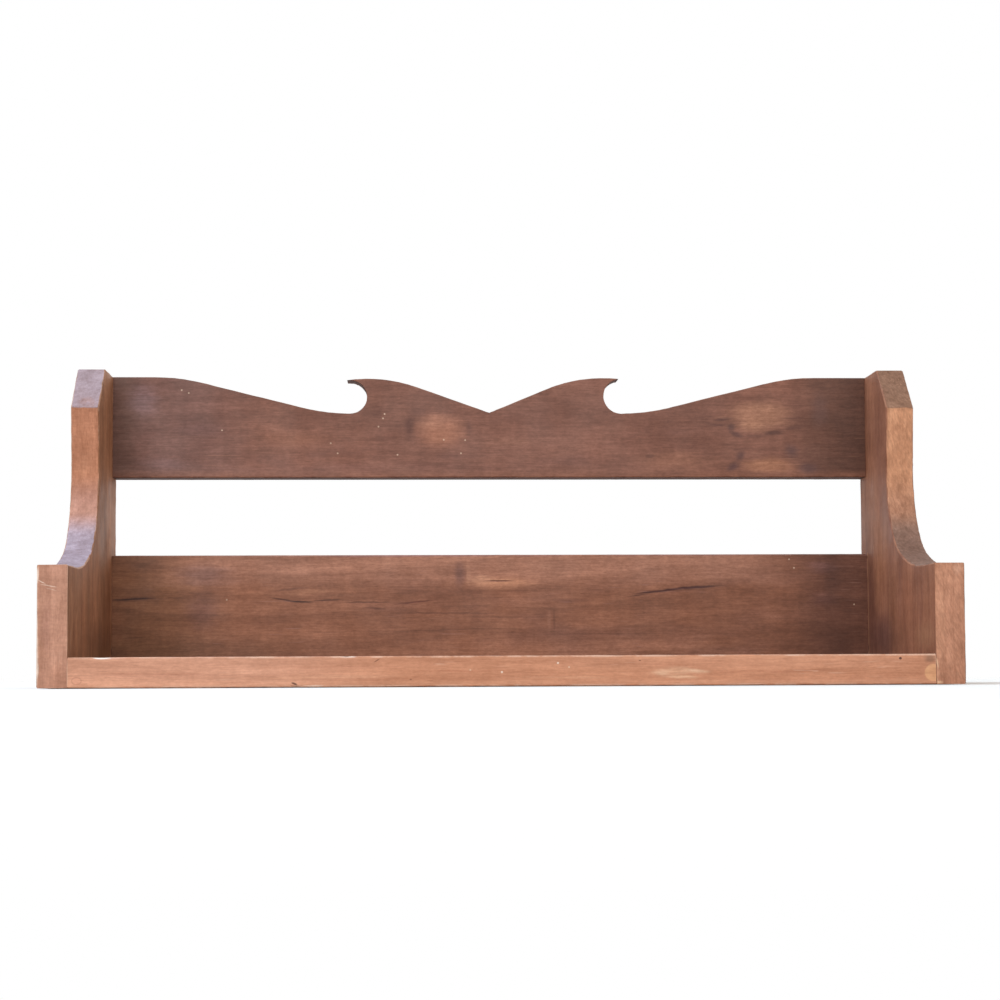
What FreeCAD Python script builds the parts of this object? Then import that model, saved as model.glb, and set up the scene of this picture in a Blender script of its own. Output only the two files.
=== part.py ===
import FreeCAD, Part
import math
import os

import Sketcher
from FreeCAD import Placement, Rotation, Vector

# A wall plate rack: two sawn side brackets carry a grooved plate shelf, a bottom rail behind the
# shelf and a top rail with a sawn scroll along its upper edge.
# X runs along the rack, -Y is the front, +Y is the wall and +Z is up. The origin is the middle of
# the footprint, on the plane of the underside. Lengths are in millimetres, angles in degrees.

SIZES = (
    # The whole rack
    ("overall_width", 610, "outer face of one side to outer face of the other"),
    ("overall_depth", 229, "front edge to wall"),
    ("overall_height", 232, "underside to the top of the sides"),
    ("side_thickness", 20, "board of the sides"),
    ("shelf_thickness", 20, "board of the shelf"),
    ("rail_thickness", 20, "board of both rails"),
    # Outline of the sides
    ("block_height", 80.5, "height of the side at the front edge"),
    ("arm_depth", 92.5, "arm, from the wall to the foot of its top chamfer"),
    ("arm_chamfer", 31.5, "chamfer on the arm's front top corner, each way"),
    ("arm_lean", 4.9, "angle by which the arm's front edge leans forward going up"),
    ("cove_foot_radius", 175, "first, flat arc of the cove, next to the block's top"),
    ("cove_foot_sweep", 21.5, "angle of that arc"),
    ("cove_heel_radius", 54, "tight arc at the heel of the cove"),
    ("cove_heel_sweep", 31.5, "angle of that arc"),
    ("cove_throat_radius", 75, "arc that brings the cove up into the arm"),
    ("eased_edge", 0.8, "cut on a sanded edge, each way"),
    # Rails
    ("top_rail_height", 76, "top rail, from its lower edge to the top of the sides"),
    ("bottom_rail_height", 97.5, "bottom rail, from the underside up"),
    ("valley_drop", 27.4, "lowest point of the scroll, below the rail's top"),
    ("cusp_drop", 26.8, "point between the crests, below the rail's top"),
    ("cusp_shift", 1.8, "middle of the rail to that point, towards the left"),
    ("shoulder_radius", 150, "hollow and round of the scroll's outer slopes"),
    ("shoulder_slope", 14, "angle of the outer slopes"),
    ("left_notch_radius", 12.6, "round notch under the left crest"),
    ("left_notch_ratio", 0.1751, "middle of the rail to the left notch, as a part of the width"),
    ("left_notch_sweep", 178, "angle of the left notch's arc"),
    ("left_tip_reach", 2.8, "straight end of the left notch, under the crest's tip"),
    ("right_notch_radius", 13.3, "round notch under the right crest"),
    ("right_notch_ratio", 0.1611, "middle of the rail to the right notch, as a part of the width"),
    ("right_notch_sweep", 172, "angle of the right notch's arc"),
    ("crest_radius", 110, "round back of each crest"),
    ("left_crest_slope", 19.5, "angle of the left crest's inner slope"),
    ("right_crest_slope", 22.5, "angle of the right crest's inner slope"),
    # Plate groove in the shelf
    ("groove_width", 8, "groove that holds the plates' rims"),
    ("groove_depth", 6, "depth of the groove"),
    ("groove_setback", 48, "face of the bottom rail to the middle of the groove"),
    # Screws and plugs
    ("screw_diameter", 4, "shank of the joint screws"),
    ("screw_length", 42, "joint screw, head included"),
    ("tip_cut", 0.9, "cut round a screw's end, each way"),
    ("screw_play", 0.1, "gap round a shank or a head, on the radius"),
    ("tip_play", 1.0, "air past the point of a screw"),
    ("washer_head_diameter", 9, "flat-seated head under a plug"),
    ("washer_head_height", 2.4, "height of that head"),
    ("flat_head_diameter", 8, "countersunk head"),
    ("head_ledge", 0.05, "ledge between a countersunk head and its shank"),
    ("back_screw_length", 50, "countersunk screw through the bottom rail into the shelf"),
    ("counterbore_depth", 8.5, "plugged counterbore in the outer face of a side"),
    ("plug_diameter", 10, "wooden plug"),
    ("plug_play", 0.05, "gap round a plug or a hanger screw, on the radius"),
    ("plug_seat", 0.1, "gap between a plug and the head under it"),
    ("rail_screw_inset", 12, "edge of the top rail to its nearest screw"),
    ("low_rail_screw_gap", 16, "shelf's top or rail's top edge to the bottom rail's nearest screw"),
    ("shelf_screw_inset", 42, "front or back edge of the shelf to its nearest end screw"),
    ("back_screw_span", 320, "first to last screw along the back"),
    # Keyhole hangers let into the back edges of the sides
    ("hanger_length", 38, "keyhole plate"),
    ("hanger_width", 15, "keyhole plate"),
    ("hanger_thickness", 1.6, "keyhole plate"),
    ("hanger_play", 0.15, "gap round the plate in its recess"),
    ("entry_radius", 4.5, "hole that takes the wall screw's head"),
    ("entry_height", 13.4, "lower end of the plate to the middle of that hole"),
    ("slot_width", 4.4, "slot that takes the wall screw's shank"),
    ("slot_travel", 10.6, "rise from the entry to the end of the slot"),
    ("pocket_depth", 9, "space for the wall screw's head behind the plate"),
    ("pocket_margin", 1, "pocket beyond the entry hole, on the radius"),
    ("hanger_screw_inset", 4.6, "end of the plate to its screw"),
    ("hanger_screw_diameter", 2.8, "shank"),
    ("hanger_screw_head", 5.6, "countersunk head"),
    ("hanger_screw_length", 12, "head included"),
)

BACK_SCREWS = 2
HIDDEN_SIDES = 6
ADD = "Additive"
CUT = "Subtractive"
FACING_THE_WALL = -90

# Formulas that several pieces share.
HALF_WIDTH = "Size.overall_width / 2"
HALF_DEPTH = "Size.overall_depth / 2"
CLEAR_HALF_WIDTH = "(Size.overall_width / 2 - Size.side_thickness)"
RAIL_MIDDLE_Y = "(Size.overall_depth / 2 - Size.rail_thickness / 2)"
TOP_RAIL_MIDDLE_Z = "(Size.overall_height - Size.top_rail_height / 2)"
LOW_RAIL_SCREWS_Z = "((Size.shelf_thickness + Size.bottom_rail_height) / 2)"
SHELF_MIDDLE_Y = "(-Size.rail_thickness / 2)"
SHELF_MIDDLE_Z = "Size.shelf_thickness / 2"
TOP_RAIL_SCREW_SPAN = "(Size.top_rail_height - 2 * Size.rail_screw_inset)"
LOW_RAIL_SCREW_SPAN = (
    "(Size.bottom_rail_height - Size.shelf_thickness - 2 * Size.low_rail_screw_gap)"
)
SHELF_SCREW_SPAN = (
    "(Size.overall_depth - Size.rail_thickness - 2 * Size.shelf_screw_inset)"
)
LEFT_NOTCH_REACH = "(Size.left_notch_ratio * Size.overall_width)"
RIGHT_NOTCH_REACH = "(Size.right_notch_ratio * Size.overall_width)"
HEAD_DEPTH = "(Size.counterbore_depth - Size.washer_head_height)"
SHANK_RADIUS = "Size.screw_diameter / 2"
SHANK_HOLE_RADIUS = "Size.screw_diameter / 2 + Size.screw_play"
HANGER_SCREW_SPAN = "(Size.hanger_length - 2 * Size.hanger_screw_inset)"
HANGER_SHANK_RADIUS = "Size.hanger_screw_diameter / 2"
HANGER_HOLE_RADIUS = "Size.hanger_screw_diameter / 2 + Size.plug_play"
PILOT_DEPTH = f"(Size.screw_length + {HEAD_DEPTH} - Size.side_thickness + Size.tip_play)"
BACK_HEAD = "((Size.flat_head_diameter - Size.screw_diameter) / 2 - Size.head_ledge)"
HANGER_HEAD = "((Size.hanger_screw_head - Size.hanger_screw_diameter) / 2 - Size.head_ledge)"

document = FreeCAD.newDocument("plate_rack")
sheet = document.addObject("Spreadsheet::Sheet", "Size")
for row, (alias, size, meaning) in enumerate(SIZES, start=1):
    sheet.set(f"A{row}", meaning)
    sheet.set(f"B{row}", str(size))
    sheet.setAlias(f"B{row}", alias)
document.recompute()


def value(formula):
    """The number that a formula on the sheet gives."""
    return float(sheet.evalExpression(formula))


# ---------------------------------------------------------------- bodies and sketches


def add_body(label, across="0", along="0", up="0", turn=0):
    """A body of its own, placed by formulas and turned about the upright axis."""
    body = document.addObject("PartDesign::Body", label)
    body.Label = label
    body.Placement = Placement(Vector(0, 0, 0), Rotation(Vector(0, 0, 1), turn))
    for axis, formula in zip("xyz", (across, along, up)):
        body.setExpression(f"Placement.Base.{axis}", formula)
    return body


def origin_item(body, role):
    """One of the body's own origin planes or axes."""
    return next(item for item in body.Origin.OriginFeatures if item.Role == role)


def add_sketch(body, name, plane, offset=("0", "0", "0")):
    """A sketch on an origin plane, offset along its own axes: across, up and off the plane."""
    sketch = body.newObject("Sketcher::SketchObject", name)
    sketch.AttachmentSupport = [(origin_item(body, plane), "")]
    sketch.MapMode = "FlatFace"
    for axis, formula in zip("xyz", offset):
        sketch.setExpression(f"AttachmentOffset.Base.{axis}", formula)
    return sketch


def measure(sketch, kind, where, formula):
    """Give a sketch a dimension that follows a formula."""
    number = value(formula)
    if kind == "Angle":
        number = math.radians(number)
    index = sketch.addConstraint(Sketcher.Constraint(kind, *where, number))
    sketch.renameConstraint(index, f"size_{index}")
    sketch.setExpression(f"Constraints.size_{index}", formula)


def pin(sketch, point, across, up):
    """Hold a point of a sketch by its distances from the sketch's origin."""
    measure(sketch, "DistanceX", (-1, 1, *point), across)
    measure(sketch, "DistanceY", (-1, 1, *point), up)


class Outline:
    """A closed outline, drawn by walking round it with the material on the left."""

    def __init__(self, sketch, across, up):
        self.sketch = sketch
        self.place = complex(across, up)
        self.heading = 0.0
        self.first = None
        self.last = None
        self.corner = True

    def _join(self, shape, begin, finish):
        index = self.sketch.addGeometry(shape, False)
        if self.last is None:
            self.first = (index, begin)
        else:
            kind = "Coincident" if self.corner else "Tangent"
            self.sketch.addConstraint(Sketcher.Constraint(kind, *self.last, index, begin))
        self.last = (index, finish)
        self.corner = False
        return index

    def line(self, length, way=None):
        """Walk straight on. way is Horizontal, Vertical or None."""
        begin = self.place
        self.place += length * complex(math.cos(self.heading), math.sin(self.heading))
        ends = (Vector(p.real, p.imag, 0) for p in (begin, self.place))
        index = self._join(Part.LineSegment(*ends), 1, 2)
        if way:
            self.sketch.addConstraint(Sketcher.Constraint(way, index))
        return index

    def arc(self, radius, sweep):
        """Walk round an arc: to the left if sweep (degrees) is positive, else to the right."""
        side = math.copysign(1, sweep)
        normal = complex(-math.sin(self.heading), math.cos(self.heading)) * side
        centre = self.place + radius * normal
        before = self.heading - side * math.pi / 2
        after = before + math.radians(sweep)
        self.heading += math.radians(sweep)
        self.place = centre + radius * complex(math.cos(after), math.sin(after))
        circle = Part.Circle(Vector(centre.real, centre.imag, 0), Vector(0, 0, 1), radius)
        if side > 0:
            return self._join(Part.ArcOfCircle(circle, before, after), 1, 2)
        return self._join(Part.ArcOfCircle(circle, after, before), 2, 1)

    def turn(self, angle):
        """Turn on the spot, which makes a corner."""
        self.heading += math.radians(angle)
        self.corner = True

    def close(self, smooth=False):
        """Join the end to the beginning."""
        kind = "Tangent" if smooth else "Coincident"
        self.sketch.addConstraint(Sketcher.Constraint(kind, *self.last, *self.first))


def draw_rectangle(sketch, left, right, low, high):
    """A rectangle between four formulas."""
    outline = Outline(sketch, value(left), value(low))
    wide = value(right) - value(left)
    tall = value(high) - value(low)
    base = outline.line(wide, "Horizontal")
    outline.turn(90)
    edge = outline.line(tall, "Vertical")
    outline.turn(90)
    outline.line(wide, "Horizontal")
    outline.turn(90)
    outline.line(tall, "Vertical")
    outline.close()
    pin(sketch, (base, 1), left, low)
    pin(sketch, (edge, 2), right, high)


def draw_upright_slot(sketch, low, high, radius):
    """A slot with round ends on the sketch's upright axis, between two end centres."""
    outline = Outline(sketch, -value(radius), value(low))
    outline.turn(-90)
    lower = outline.arc(value(radius), 180)
    outline.line(value(high) - value(low))
    upper = outline.arc(value(radius), 180)
    outline.line(value(high) - value(low))
    outline.close(smooth=True)
    sketch.addConstraint(Sketcher.Constraint("Equal", lower, upper))
    measure(sketch, "Radius", (lower,), radius)
    pin(sketch, (lower, 3), "0", low)
    pin(sketch, (upper, 3), "0", high)


def draw_circles(sketch, radius, places):
    """Equal circles at (across, up) formulas."""
    for across, up in places:
        centre = Vector(value(across), value(up), 0)
        index = sketch.addGeometry(Part.Circle(centre, Vector(0, 0, 1), value(radius)), False)
        measure(sketch, "Radius", (index,), radius)
        pin(sketch, (index, 3), across, up)


def row_places(axis, middle, span, count=2):
    """Places of a row, spread over span about middle, along axis 0 or 1."""
    places = []
    for step in range(count):
        share = step / (count - 1) - 0.5
        place = list(middle)
        place[axis] = f"{middle[axis]} + {share} * {span}"
        places.append(tuple(place))
    return places


# ---------------------------------------------------------------- features


def pad(body, sketch, length, reverse=False):
    """Pad a sketch by a formula."""
    feature = body.newObject("PartDesign::Pad", "Pad")
    feature.Profile = sketch
    feature.Reversed = reverse
    feature.setExpression("Length", length)
    document.recompute()
    return feature


def check_cut(body, before):
    """Stop if the last feature took nothing away."""
    if not body.Shape.Volume < before - 0.01:
        raise ValueError(f"{body.Label}: the last cut took nothing away")


def pocket(body, sketch, depth, reverse=False):
    """Cut a sketch into the body. Unreversed, it cuts against the sketch's normal."""
    before = body.Shape.Volume
    feature = body.newObject("PartDesign::Pocket", "Pocket")
    feature.Profile = sketch
    feature.Reversed = reverse
    feature.setExpression("Length", depth)
    document.recompute()
    check_cut(body, before)
    return feature


def prism(radius):
    """A many-sided form for a hidden shank or its hole. radius is to the corners."""
    return "Prism", {"Circumradius": radius}


def cylinder(radius):
    """A round form for a plug or its counterbore."""
    return "Cylinder", {"Radius": radius}


def cone(wide, narrow):
    """A form for a countersunk head or its seat."""
    return "Cone", {"Radius1": wide, "Radius2": narrow}


def countersunk(height, wide):
    """A cone of a countersunk head or seat, with flanks at 45 degrees."""
    return cone(wide, f"{wide} - {height}")


def shape_row(body, way, form, plane, start, length, places):
    """Add or cut a form at each place, from start along the plane's normal."""
    kind, sizes = form
    for across, up in places:
        before = body.Shape.Volume if way == CUT else None
        feature = body.newObject(f"PartDesign::{way}{kind}", kind)
        feature.AttachmentSupport = [(origin_item(body, plane), "")]
        feature.MapMode = "FlatFace"
        for axis, formula in zip("xyz", (across, up, start)):
            feature.setExpression(f"AttachmentOffset.Base.{axis}", formula)
        for name, formula in sizes.items():
            feature.setExpression(name, formula)
        feature.setExpression("Height", length)
        if kind == "Prism":
            feature.Polygon = HIDDEN_SIDES
        document.recompute()
        if way == CUT:
            check_cut(body, before)


def cut_edges(body, size, wanted):
    """Chamfer the edges of the body's last feature whose middle passes the test."""
    base = body.Tip
    names = []
    for index, edge in enumerate(base.Shape.Edges, start=1):
        middle = edge.valueAt((edge.FirstParameter + edge.LastParameter) / 2)
        if wanted(middle):
            names.append(f"Edge{index}")
    feature = body.newObject("PartDesign::Chamfer", "Chamfer")
    feature.Base = (base, names)
    feature.setExpression("Size", size)
    document.recompute()
    return feature


# ---------------------------------------------------------------- sides


def draw_side(sketch):
    """Outline of a side, seen along X: block in front, cove, and arm up the wall."""
    foot_radius = value("Size.cove_foot_radius")
    heel_radius = value("Size.cove_heel_radius")
    throat_radius = value("Size.cove_throat_radius")
    foot_sweep = value("Size.cove_foot_sweep")
    heel_sweep = value("Size.cove_heel_sweep")
    lean = value("Size.arm_lean")
    throat_sweep = 90 + lean - foot_sweep - heel_sweep
    foot_end = math.radians(foot_sweep)
    heel_end = math.radians(foot_sweep + heel_sweep)
    throat_end = math.radians(90 + lean)
    rise = (
        foot_radius * (1 - math.cos(foot_end))
        + heel_radius * (math.cos(foot_end) - math.cos(heel_end))
        + throat_radius * (math.cos(heel_end) - math.cos(throat_end))
    )
    chamfer = value("Size.arm_chamfer")
    tall = value("Size.overall_height")
    deep = value("Size.overall_depth")
    block = value("Size.block_height")
    edge_length = (tall - chamfer - block - rise) / math.cos(math.radians(lean))

    outline = Outline(sketch, -deep / 2, 0)
    bottom = outline.line(deep, "Horizontal")
    outline.turn(90)
    back = outline.line(tall, "Vertical")
    outline.turn(90)
    outline.line(value("Size.arm_depth") - chamfer, "Horizontal")
    outline.turn(45)
    corner = outline.line(chamfer * math.sqrt(2))
    outline.turn(45 + lean)
    edge = outline.line(edge_length)
    throat = outline.arc(throat_radius, -throat_sweep)
    heel = outline.arc(heel_radius, -heel_sweep)
    foot = outline.arc(foot_radius, -foot_sweep)
    outline.line(outline.place.real + deep / 2, "Horizontal")
    outline.turn(90)
    front = outline.line(block, "Vertical")
    outline.close()

    pin(sketch, (bottom, 1), f"-{HALF_DEPTH}", "0")
    pin(sketch, (back, 2), HALF_DEPTH, "Size.overall_height")
    pin(sketch, (edge, 1), f"{HALF_DEPTH} - Size.arm_depth", "Size.overall_height - Size.arm_chamfer")
    measure(sketch, "DistanceX", (corner, 2, corner, 1), "Size.arm_chamfer")
    measure(sketch, "Angle", (edge,), "Size.arm_lean - 90")
    measure(sketch, "Radius", (throat,), "Size.cove_throat_radius")
    measure(sketch, "Radius", (heel,), "Size.cove_heel_radius")
    measure(sketch, "Angle", (heel,), "Size.cove_heel_sweep")
    measure(sketch, "Radius", (foot,), "Size.cove_foot_radius")
    measure(sketch, "Angle", (foot,), "Size.cove_foot_sweep")
    measure(sketch, "DistanceY", (front, 2, front, 1), "Size.block_height")


def hanger_height(rise):
    """Formula of a height on the hanger, from a rise above the hanger's lower end."""
    return f"{TOP_RAIL_MIDDLE_Z} - Size.hanger_length / 2 + {rise}"


def make_side(label, hand):
    """A side board. hand is -1 on the left and +1 on the right, where the board lies inwards."""
    body = add_body(label, across=f"{hand} * {HALF_WIDTH}")
    on_the_left = hand < 0
    outline = add_sketch(body, "Outline", "YZ_Plane")
    draw_side(outline)
    pad(body, outline, "Size.side_thickness", reverse=not on_the_left)

    outer = 0
    inner = -hand * value("Size.side_thickness")
    front = -value(HALF_DEPTH)
    rail_face = value(HALF_DEPTH) - value("Size.rail_thickness")
    top = value("Size.overall_height")
    near = value("Size.eased_edge") / 2

    def is_open_edge(middle):
        """All of the outer face's edges, and the inner face's between shelf and top rail."""
        if abs(middle.x - outer) < near:
            return True
        on_inner_face = abs(middle.x - inner) < near
        in_front_of_rail = front + near < middle.y < rail_face
        return on_inner_face and in_front_of_rail and near < middle.z < top - near

    cut_edges(body, "Size.eased_edge", is_open_edge)

    places = top_rail_places() + bottom_rail_places() + shelf_places()
    for form, depth in (
        (prism(SHANK_HOLE_RADIUS), "Size.side_thickness"),
        (cylinder("Size.plug_diameter / 2 + Size.plug_play"), "Size.counterbore_depth"),
    ):
        start = "0" if on_the_left else f"-{depth}"
        shape_row(body, CUT, form, "YZ_Plane", start, depth, places)

    back_face = (f"{-hand} * Size.side_thickness / 2", "0", f"-{HALF_DEPTH}")
    head_space = add_sketch(body, "HeadSpace", "XZ_Plane", back_face)
    pocket_reach = "(Size.entry_radius + Size.pocket_margin)"
    draw_rectangle(
        head_space,
        f"-{pocket_reach}",
        pocket_reach,
        hanger_height(f"Size.entry_height - {pocket_reach}"),
        hanger_height(f"Size.entry_height + Size.slot_travel + {pocket_reach}"),
    )
    pocket(body, head_space, "Size.hanger_thickness + Size.pocket_depth", reverse=True)

    recess = add_sketch(body, "HangerRecess", "XZ_Plane", back_face)
    draw_rectangle(
        recess,
        "-Size.hanger_width / 2 - Size.hanger_play",
        "Size.hanger_width / 2 + Size.hanger_play",
        hanger_height("-1 * Size.hanger_play"),
        hanger_height("Size.hanger_length + Size.hanger_play"),
    )
    pocket(body, recess, "Size.hanger_thickness", reverse=True)

    middle = back_face[0]
    pilots = row_places(1, (middle, TOP_RAIL_MIDDLE_Z), HANGER_SCREW_SPAN)
    depth = "Size.hanger_screw_length + Size.tip_play"
    shape_row(body, CUT, prism(HANGER_HOLE_RADIUS), "XZ_Plane", f"-{HALF_DEPTH}", depth, pilots)
    return body


# ---------------------------------------------------------------- shelf and rails


def top_rail_places(middle=(RAIL_MIDDLE_Y, TOP_RAIL_MIDDLE_Z)):
    """Places of the screws at each end of the top rail."""
    return row_places(1, middle, TOP_RAIL_SCREW_SPAN)


def bottom_rail_places(middle=(RAIL_MIDDLE_Y, LOW_RAIL_SCREWS_Z)):
    """Places of the screws at each end of the bottom rail."""
    return row_places(1, middle, LOW_RAIL_SCREW_SPAN)


def shelf_places(middle=(SHELF_MIDDLE_Y, SHELF_MIDDLE_Z)):
    """Places of the screws at each end of the shelf."""
    return row_places(0, middle, SHELF_SCREW_SPAN)


def back_places(middle=("0", SHELF_MIDDLE_Z)):
    """Places of the screws that go through the bottom rail into the shelf."""
    return row_places(0, middle, "Size.back_screw_span", BACK_SCREWS)


def bore_ends(body, places):
    """Pilot holes in both ends of a cross board."""
    pilot = prism(SHANK_HOLE_RADIUS)
    for start in (f"-{CLEAR_HALF_WIDTH}", f"{CLEAR_HALF_WIDTH} - {PILOT_DEPTH}"):
        shape_row(body, CUT, pilot, "YZ_Plane", start, PILOT_DEPTH, places)


def make_shelf():
    """The shelf, with its plate groove and sanded front edges."""
    body = add_body("shelf")
    outline = add_sketch(body, "Outline", "XY_Plane")
    rail_face = f"{HALF_DEPTH} - Size.rail_thickness"
    draw_rectangle(outline, f"-{CLEAR_HALF_WIDTH}", CLEAR_HALF_WIDTH, f"-{HALF_DEPTH}", rail_face)
    pad(body, outline, "Size.shelf_thickness")

    front = -value(HALF_DEPTH)
    near = value("Size.eased_edge") / 2
    cut_edges(
        body,
        "Size.eased_edge",
        lambda middle: abs(middle.y - front) < near and abs(middle.x) < near,
    )

    groove = add_sketch(body, "Groove", "XY_Plane", ("0", "0", "Size.shelf_thickness"))
    groove_middle = f"{rail_face} - Size.groove_setback"
    draw_rectangle(
        groove,
        f"-{CLEAR_HALF_WIDTH}",
        CLEAR_HALF_WIDTH,
        f"{groove_middle} - Size.groove_width / 2",
        f"{groove_middle} + Size.groove_width / 2",
    )
    pocket(body, groove, "Size.groove_depth")

    bore_ends(body, shelf_places())
    depth = "Size.back_screw_length - Size.rail_thickness + Size.tip_play"
    pilot = prism(SHANK_HOLE_RADIUS)
    shape_row(body, CUT, pilot, "XZ_Plane", f"-({rail_face})", depth, back_places())
    return body


def make_bottom_rail():
    """The bottom rail, behind the shelf and down to the underside."""
    body = add_body("bottom_rail")
    outline = add_sketch(body, "Outline", "XZ_Plane", ("0", "0", f"-{HALF_DEPTH}"))
    draw_rectangle(outline, f"-{CLEAR_HALF_WIDTH}", CLEAR_HALF_WIDTH, "0", "Size.bottom_rail_height")
    pad(body, outline, "Size.rail_thickness")
    top = value("Size.bottom_rail_height")
    near = value("Size.eased_edge") / 2
    cut_edges(
        body,
        "Size.eased_edge",
        lambda middle: abs(middle.z - top) < near and abs(middle.x) < near,
    )
    bore_ends(body, bottom_rail_places())
    back_face = f"-{HALF_DEPTH}"
    hole = prism(SHANK_HOLE_RADIUS)
    shape_row(body, CUT, hole, "XZ_Plane", back_face, "Size.rail_thickness", back_places())
    seat = countersunk(BACK_HEAD, "Size.flat_head_diameter / 2 + Size.screw_play")
    shape_row(body, CUT, seat, "XZ_Plane", back_face, BACK_HEAD, back_places())
    return body


def crest_run(tip, cusp, slope):
    """Length of a crest's straight slope and the sweep of its round back, in degrees."""
    radius = value("Size.crest_radius")
    slope = math.radians(slope)
    wide = abs(tip.real - cusp.real)
    tall = tip.imag - cusp.imag
    along = wide * math.cos(slope) + tall * math.sin(slope)
    below = wide * math.sin(slope) - tall * math.cos(slope)
    reach = math.sqrt(2 * radius * below - below**2)
    return along - reach, math.degrees(math.asin(reach / radius))


def notch_tip(side, reach, radius, sweep, straight=0):
    """Point where a notch meets its crest, past the straight end of the notch's arc."""
    lowest = value("Size.overall_height - Size.valley_drop")
    angle = math.radians(sweep - 90)
    across = reach - radius * math.cos(angle) + straight * math.sin(angle)
    up = lowest + radius * (1 + math.sin(angle)) + straight * math.cos(angle)
    return complex(side * across, up)


def draw_scroll(sketch):
    """Outline of the top rail: flat ends, sloping shoulders, notches, crests and a cusp."""
    half = value(CLEAR_HALF_WIDTH)
    top = value("Size.overall_height")
    tall = value("Size.top_rail_height")
    drop = value("Size.valley_drop")
    shoulder = value("Size.shoulder_radius")
    slope = value("Size.shoulder_slope")
    crest = value("Size.crest_radius")
    slope_rise = drop - 2 * shoulder * (1 - math.cos(math.radians(slope)))
    slope_length = slope_rise / math.sin(math.radians(slope))
    shoulder_run = 2 * shoulder * math.sin(math.radians(slope)) + slope_length * math.cos(
        math.radians(slope)
    )

    cusp = complex(-value("Size.cusp_shift"), top - value("Size.cusp_drop"))
    right_reach = value(RIGHT_NOTCH_REACH)
    right_radius = value("Size.right_notch_radius")
    right_sweep = value("Size.right_notch_sweep")
    right_rise = value("Size.right_crest_slope")
    right_tip = notch_tip(1, right_reach, right_radius, right_sweep)
    right_line, right_back = crest_run(right_tip, cusp, right_rise)
    left_reach = value(LEFT_NOTCH_REACH)
    left_radius = value("Size.left_notch_radius")
    left_sweep = value("Size.left_notch_sweep")
    left_rise = value("Size.left_crest_slope")
    straight = value("Size.left_tip_reach")
    left_tip = notch_tip(-1, left_reach, left_radius, left_sweep, straight)
    left_line, left_back = crest_run(left_tip, cusp, left_rise)

    outline = Outline(sketch, -half, top - tall)
    base = outline.line(2 * half, "Horizontal")
    outline.turn(90)
    right_end = outline.line(tall, "Vertical")
    outline.turn(90)
    outline.line(half - right_reach - shoulder_run, "Horizontal")
    right_shoulder = outline.arc(shoulder, slope)
    outline.line(slope_length)
    right_valley = outline.arc(shoulder, -slope)
    right_notch = outline.arc(right_radius, -right_sweep)
    outline.turn(right_sweep + right_rise - right_back)
    right_crest = outline.arc(crest, right_back)
    right_slope = outline.line(right_line)
    outline.turn(-right_rise - left_rise)
    left_slope = outline.line(left_line)
    left_crest = outline.arc(crest, left_back)
    outline.turn(left_rise - left_back + left_sweep)
    left_end_of_notch = outline.line(straight)
    left_notch = outline.arc(left_radius, -left_sweep)
    left_valley = outline.arc(shoulder, -slope)
    outline.line(slope_length)
    left_shoulder = outline.arc(shoulder, slope)
    outline.line(half - left_reach - shoulder_run, "Horizontal")
    outline.turn(90)
    left_end = outline.line(tall, "Vertical")
    outline.close()

    rail_foot = "Size.overall_height - Size.top_rail_height"
    lowest = "Size.overall_height - Size.valley_drop"
    pin(sketch, (base, 1), f"-{CLEAR_HALF_WIDTH}", rail_foot)
    pin(sketch, (right_end, 2), CLEAR_HALF_WIDTH, "Size.overall_height")
    measure(sketch, "DistanceY", (-1, 1, left_end, 1), "Size.overall_height")
    pin(sketch, (right_notch, 3), RIGHT_NOTCH_REACH, f"{lowest} + Size.right_notch_radius")
    pin(sketch, (left_notch, 3), f"-1 * {LEFT_NOTCH_REACH}", f"{lowest} + Size.left_notch_radius")
    pin(sketch, (right_slope, 2), "-Size.cusp_shift", "Size.overall_height - Size.cusp_drop")
    for arc in (right_shoulder, right_valley, left_valley, left_shoulder):
        measure(sketch, "Radius", (arc,), "Size.shoulder_radius")
        measure(sketch, "Angle", (arc,), "Size.shoulder_slope")
    for arc, hand in ((right_notch, "right"), (left_notch, "left")):
        measure(sketch, "Radius", (arc,), f"Size.{hand}_notch_radius")
        measure(sketch, "Angle", (arc,), f"Size.{hand}_notch_sweep")
    for arc in (right_crest, left_crest):
        measure(sketch, "Radius", (arc,), "Size.crest_radius")
    measure(sketch, "Distance", (left_end_of_notch,), "Size.left_tip_reach")
    measure(sketch, "Angle", (right_slope,), "Size.right_crest_slope - 180")
    measure(sketch, "Angle", (left_slope,), "180 - Size.left_crest_slope")


def make_top_rail():
    """The top rail, with the sawn scroll along its upper edge."""
    body = add_body("top_rail")
    outline = add_sketch(body, "Outline", "XZ_Plane", ("0", "0", f"-{HALF_DEPTH}"))
    draw_scroll(outline)
    pad(body, outline, "Size.rail_thickness")
    foot = value("Size.overall_height") - value("Size.top_rail_height")
    near = value("Size.eased_edge") / 2
    cut_edges(
        body,
        "Size.eased_edge",
        lambda middle: abs(middle.z - foot) < near and abs(middle.x) < near,
    )
    bore_ends(body, top_rail_places())
    return body


# ---------------------------------------------------------------- screws, plugs and hangers


def fastener_row(label, place, turn, stages, places, length=None):
    """A row of equal screws or plugs along X, in stages: (form, start, length)."""
    body = add_body(label, *place, turn=turn)
    for form, start, stage_length in stages:
        shape_row(body, ADD, form, "YZ_Plane", start, stage_length, places)
    if length:
        tip = value(length) - value("Size.tip_cut") / 2
        cut_edges(body, "Size.tip_cut", lambda middle: middle.x > tip)
    return body


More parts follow.
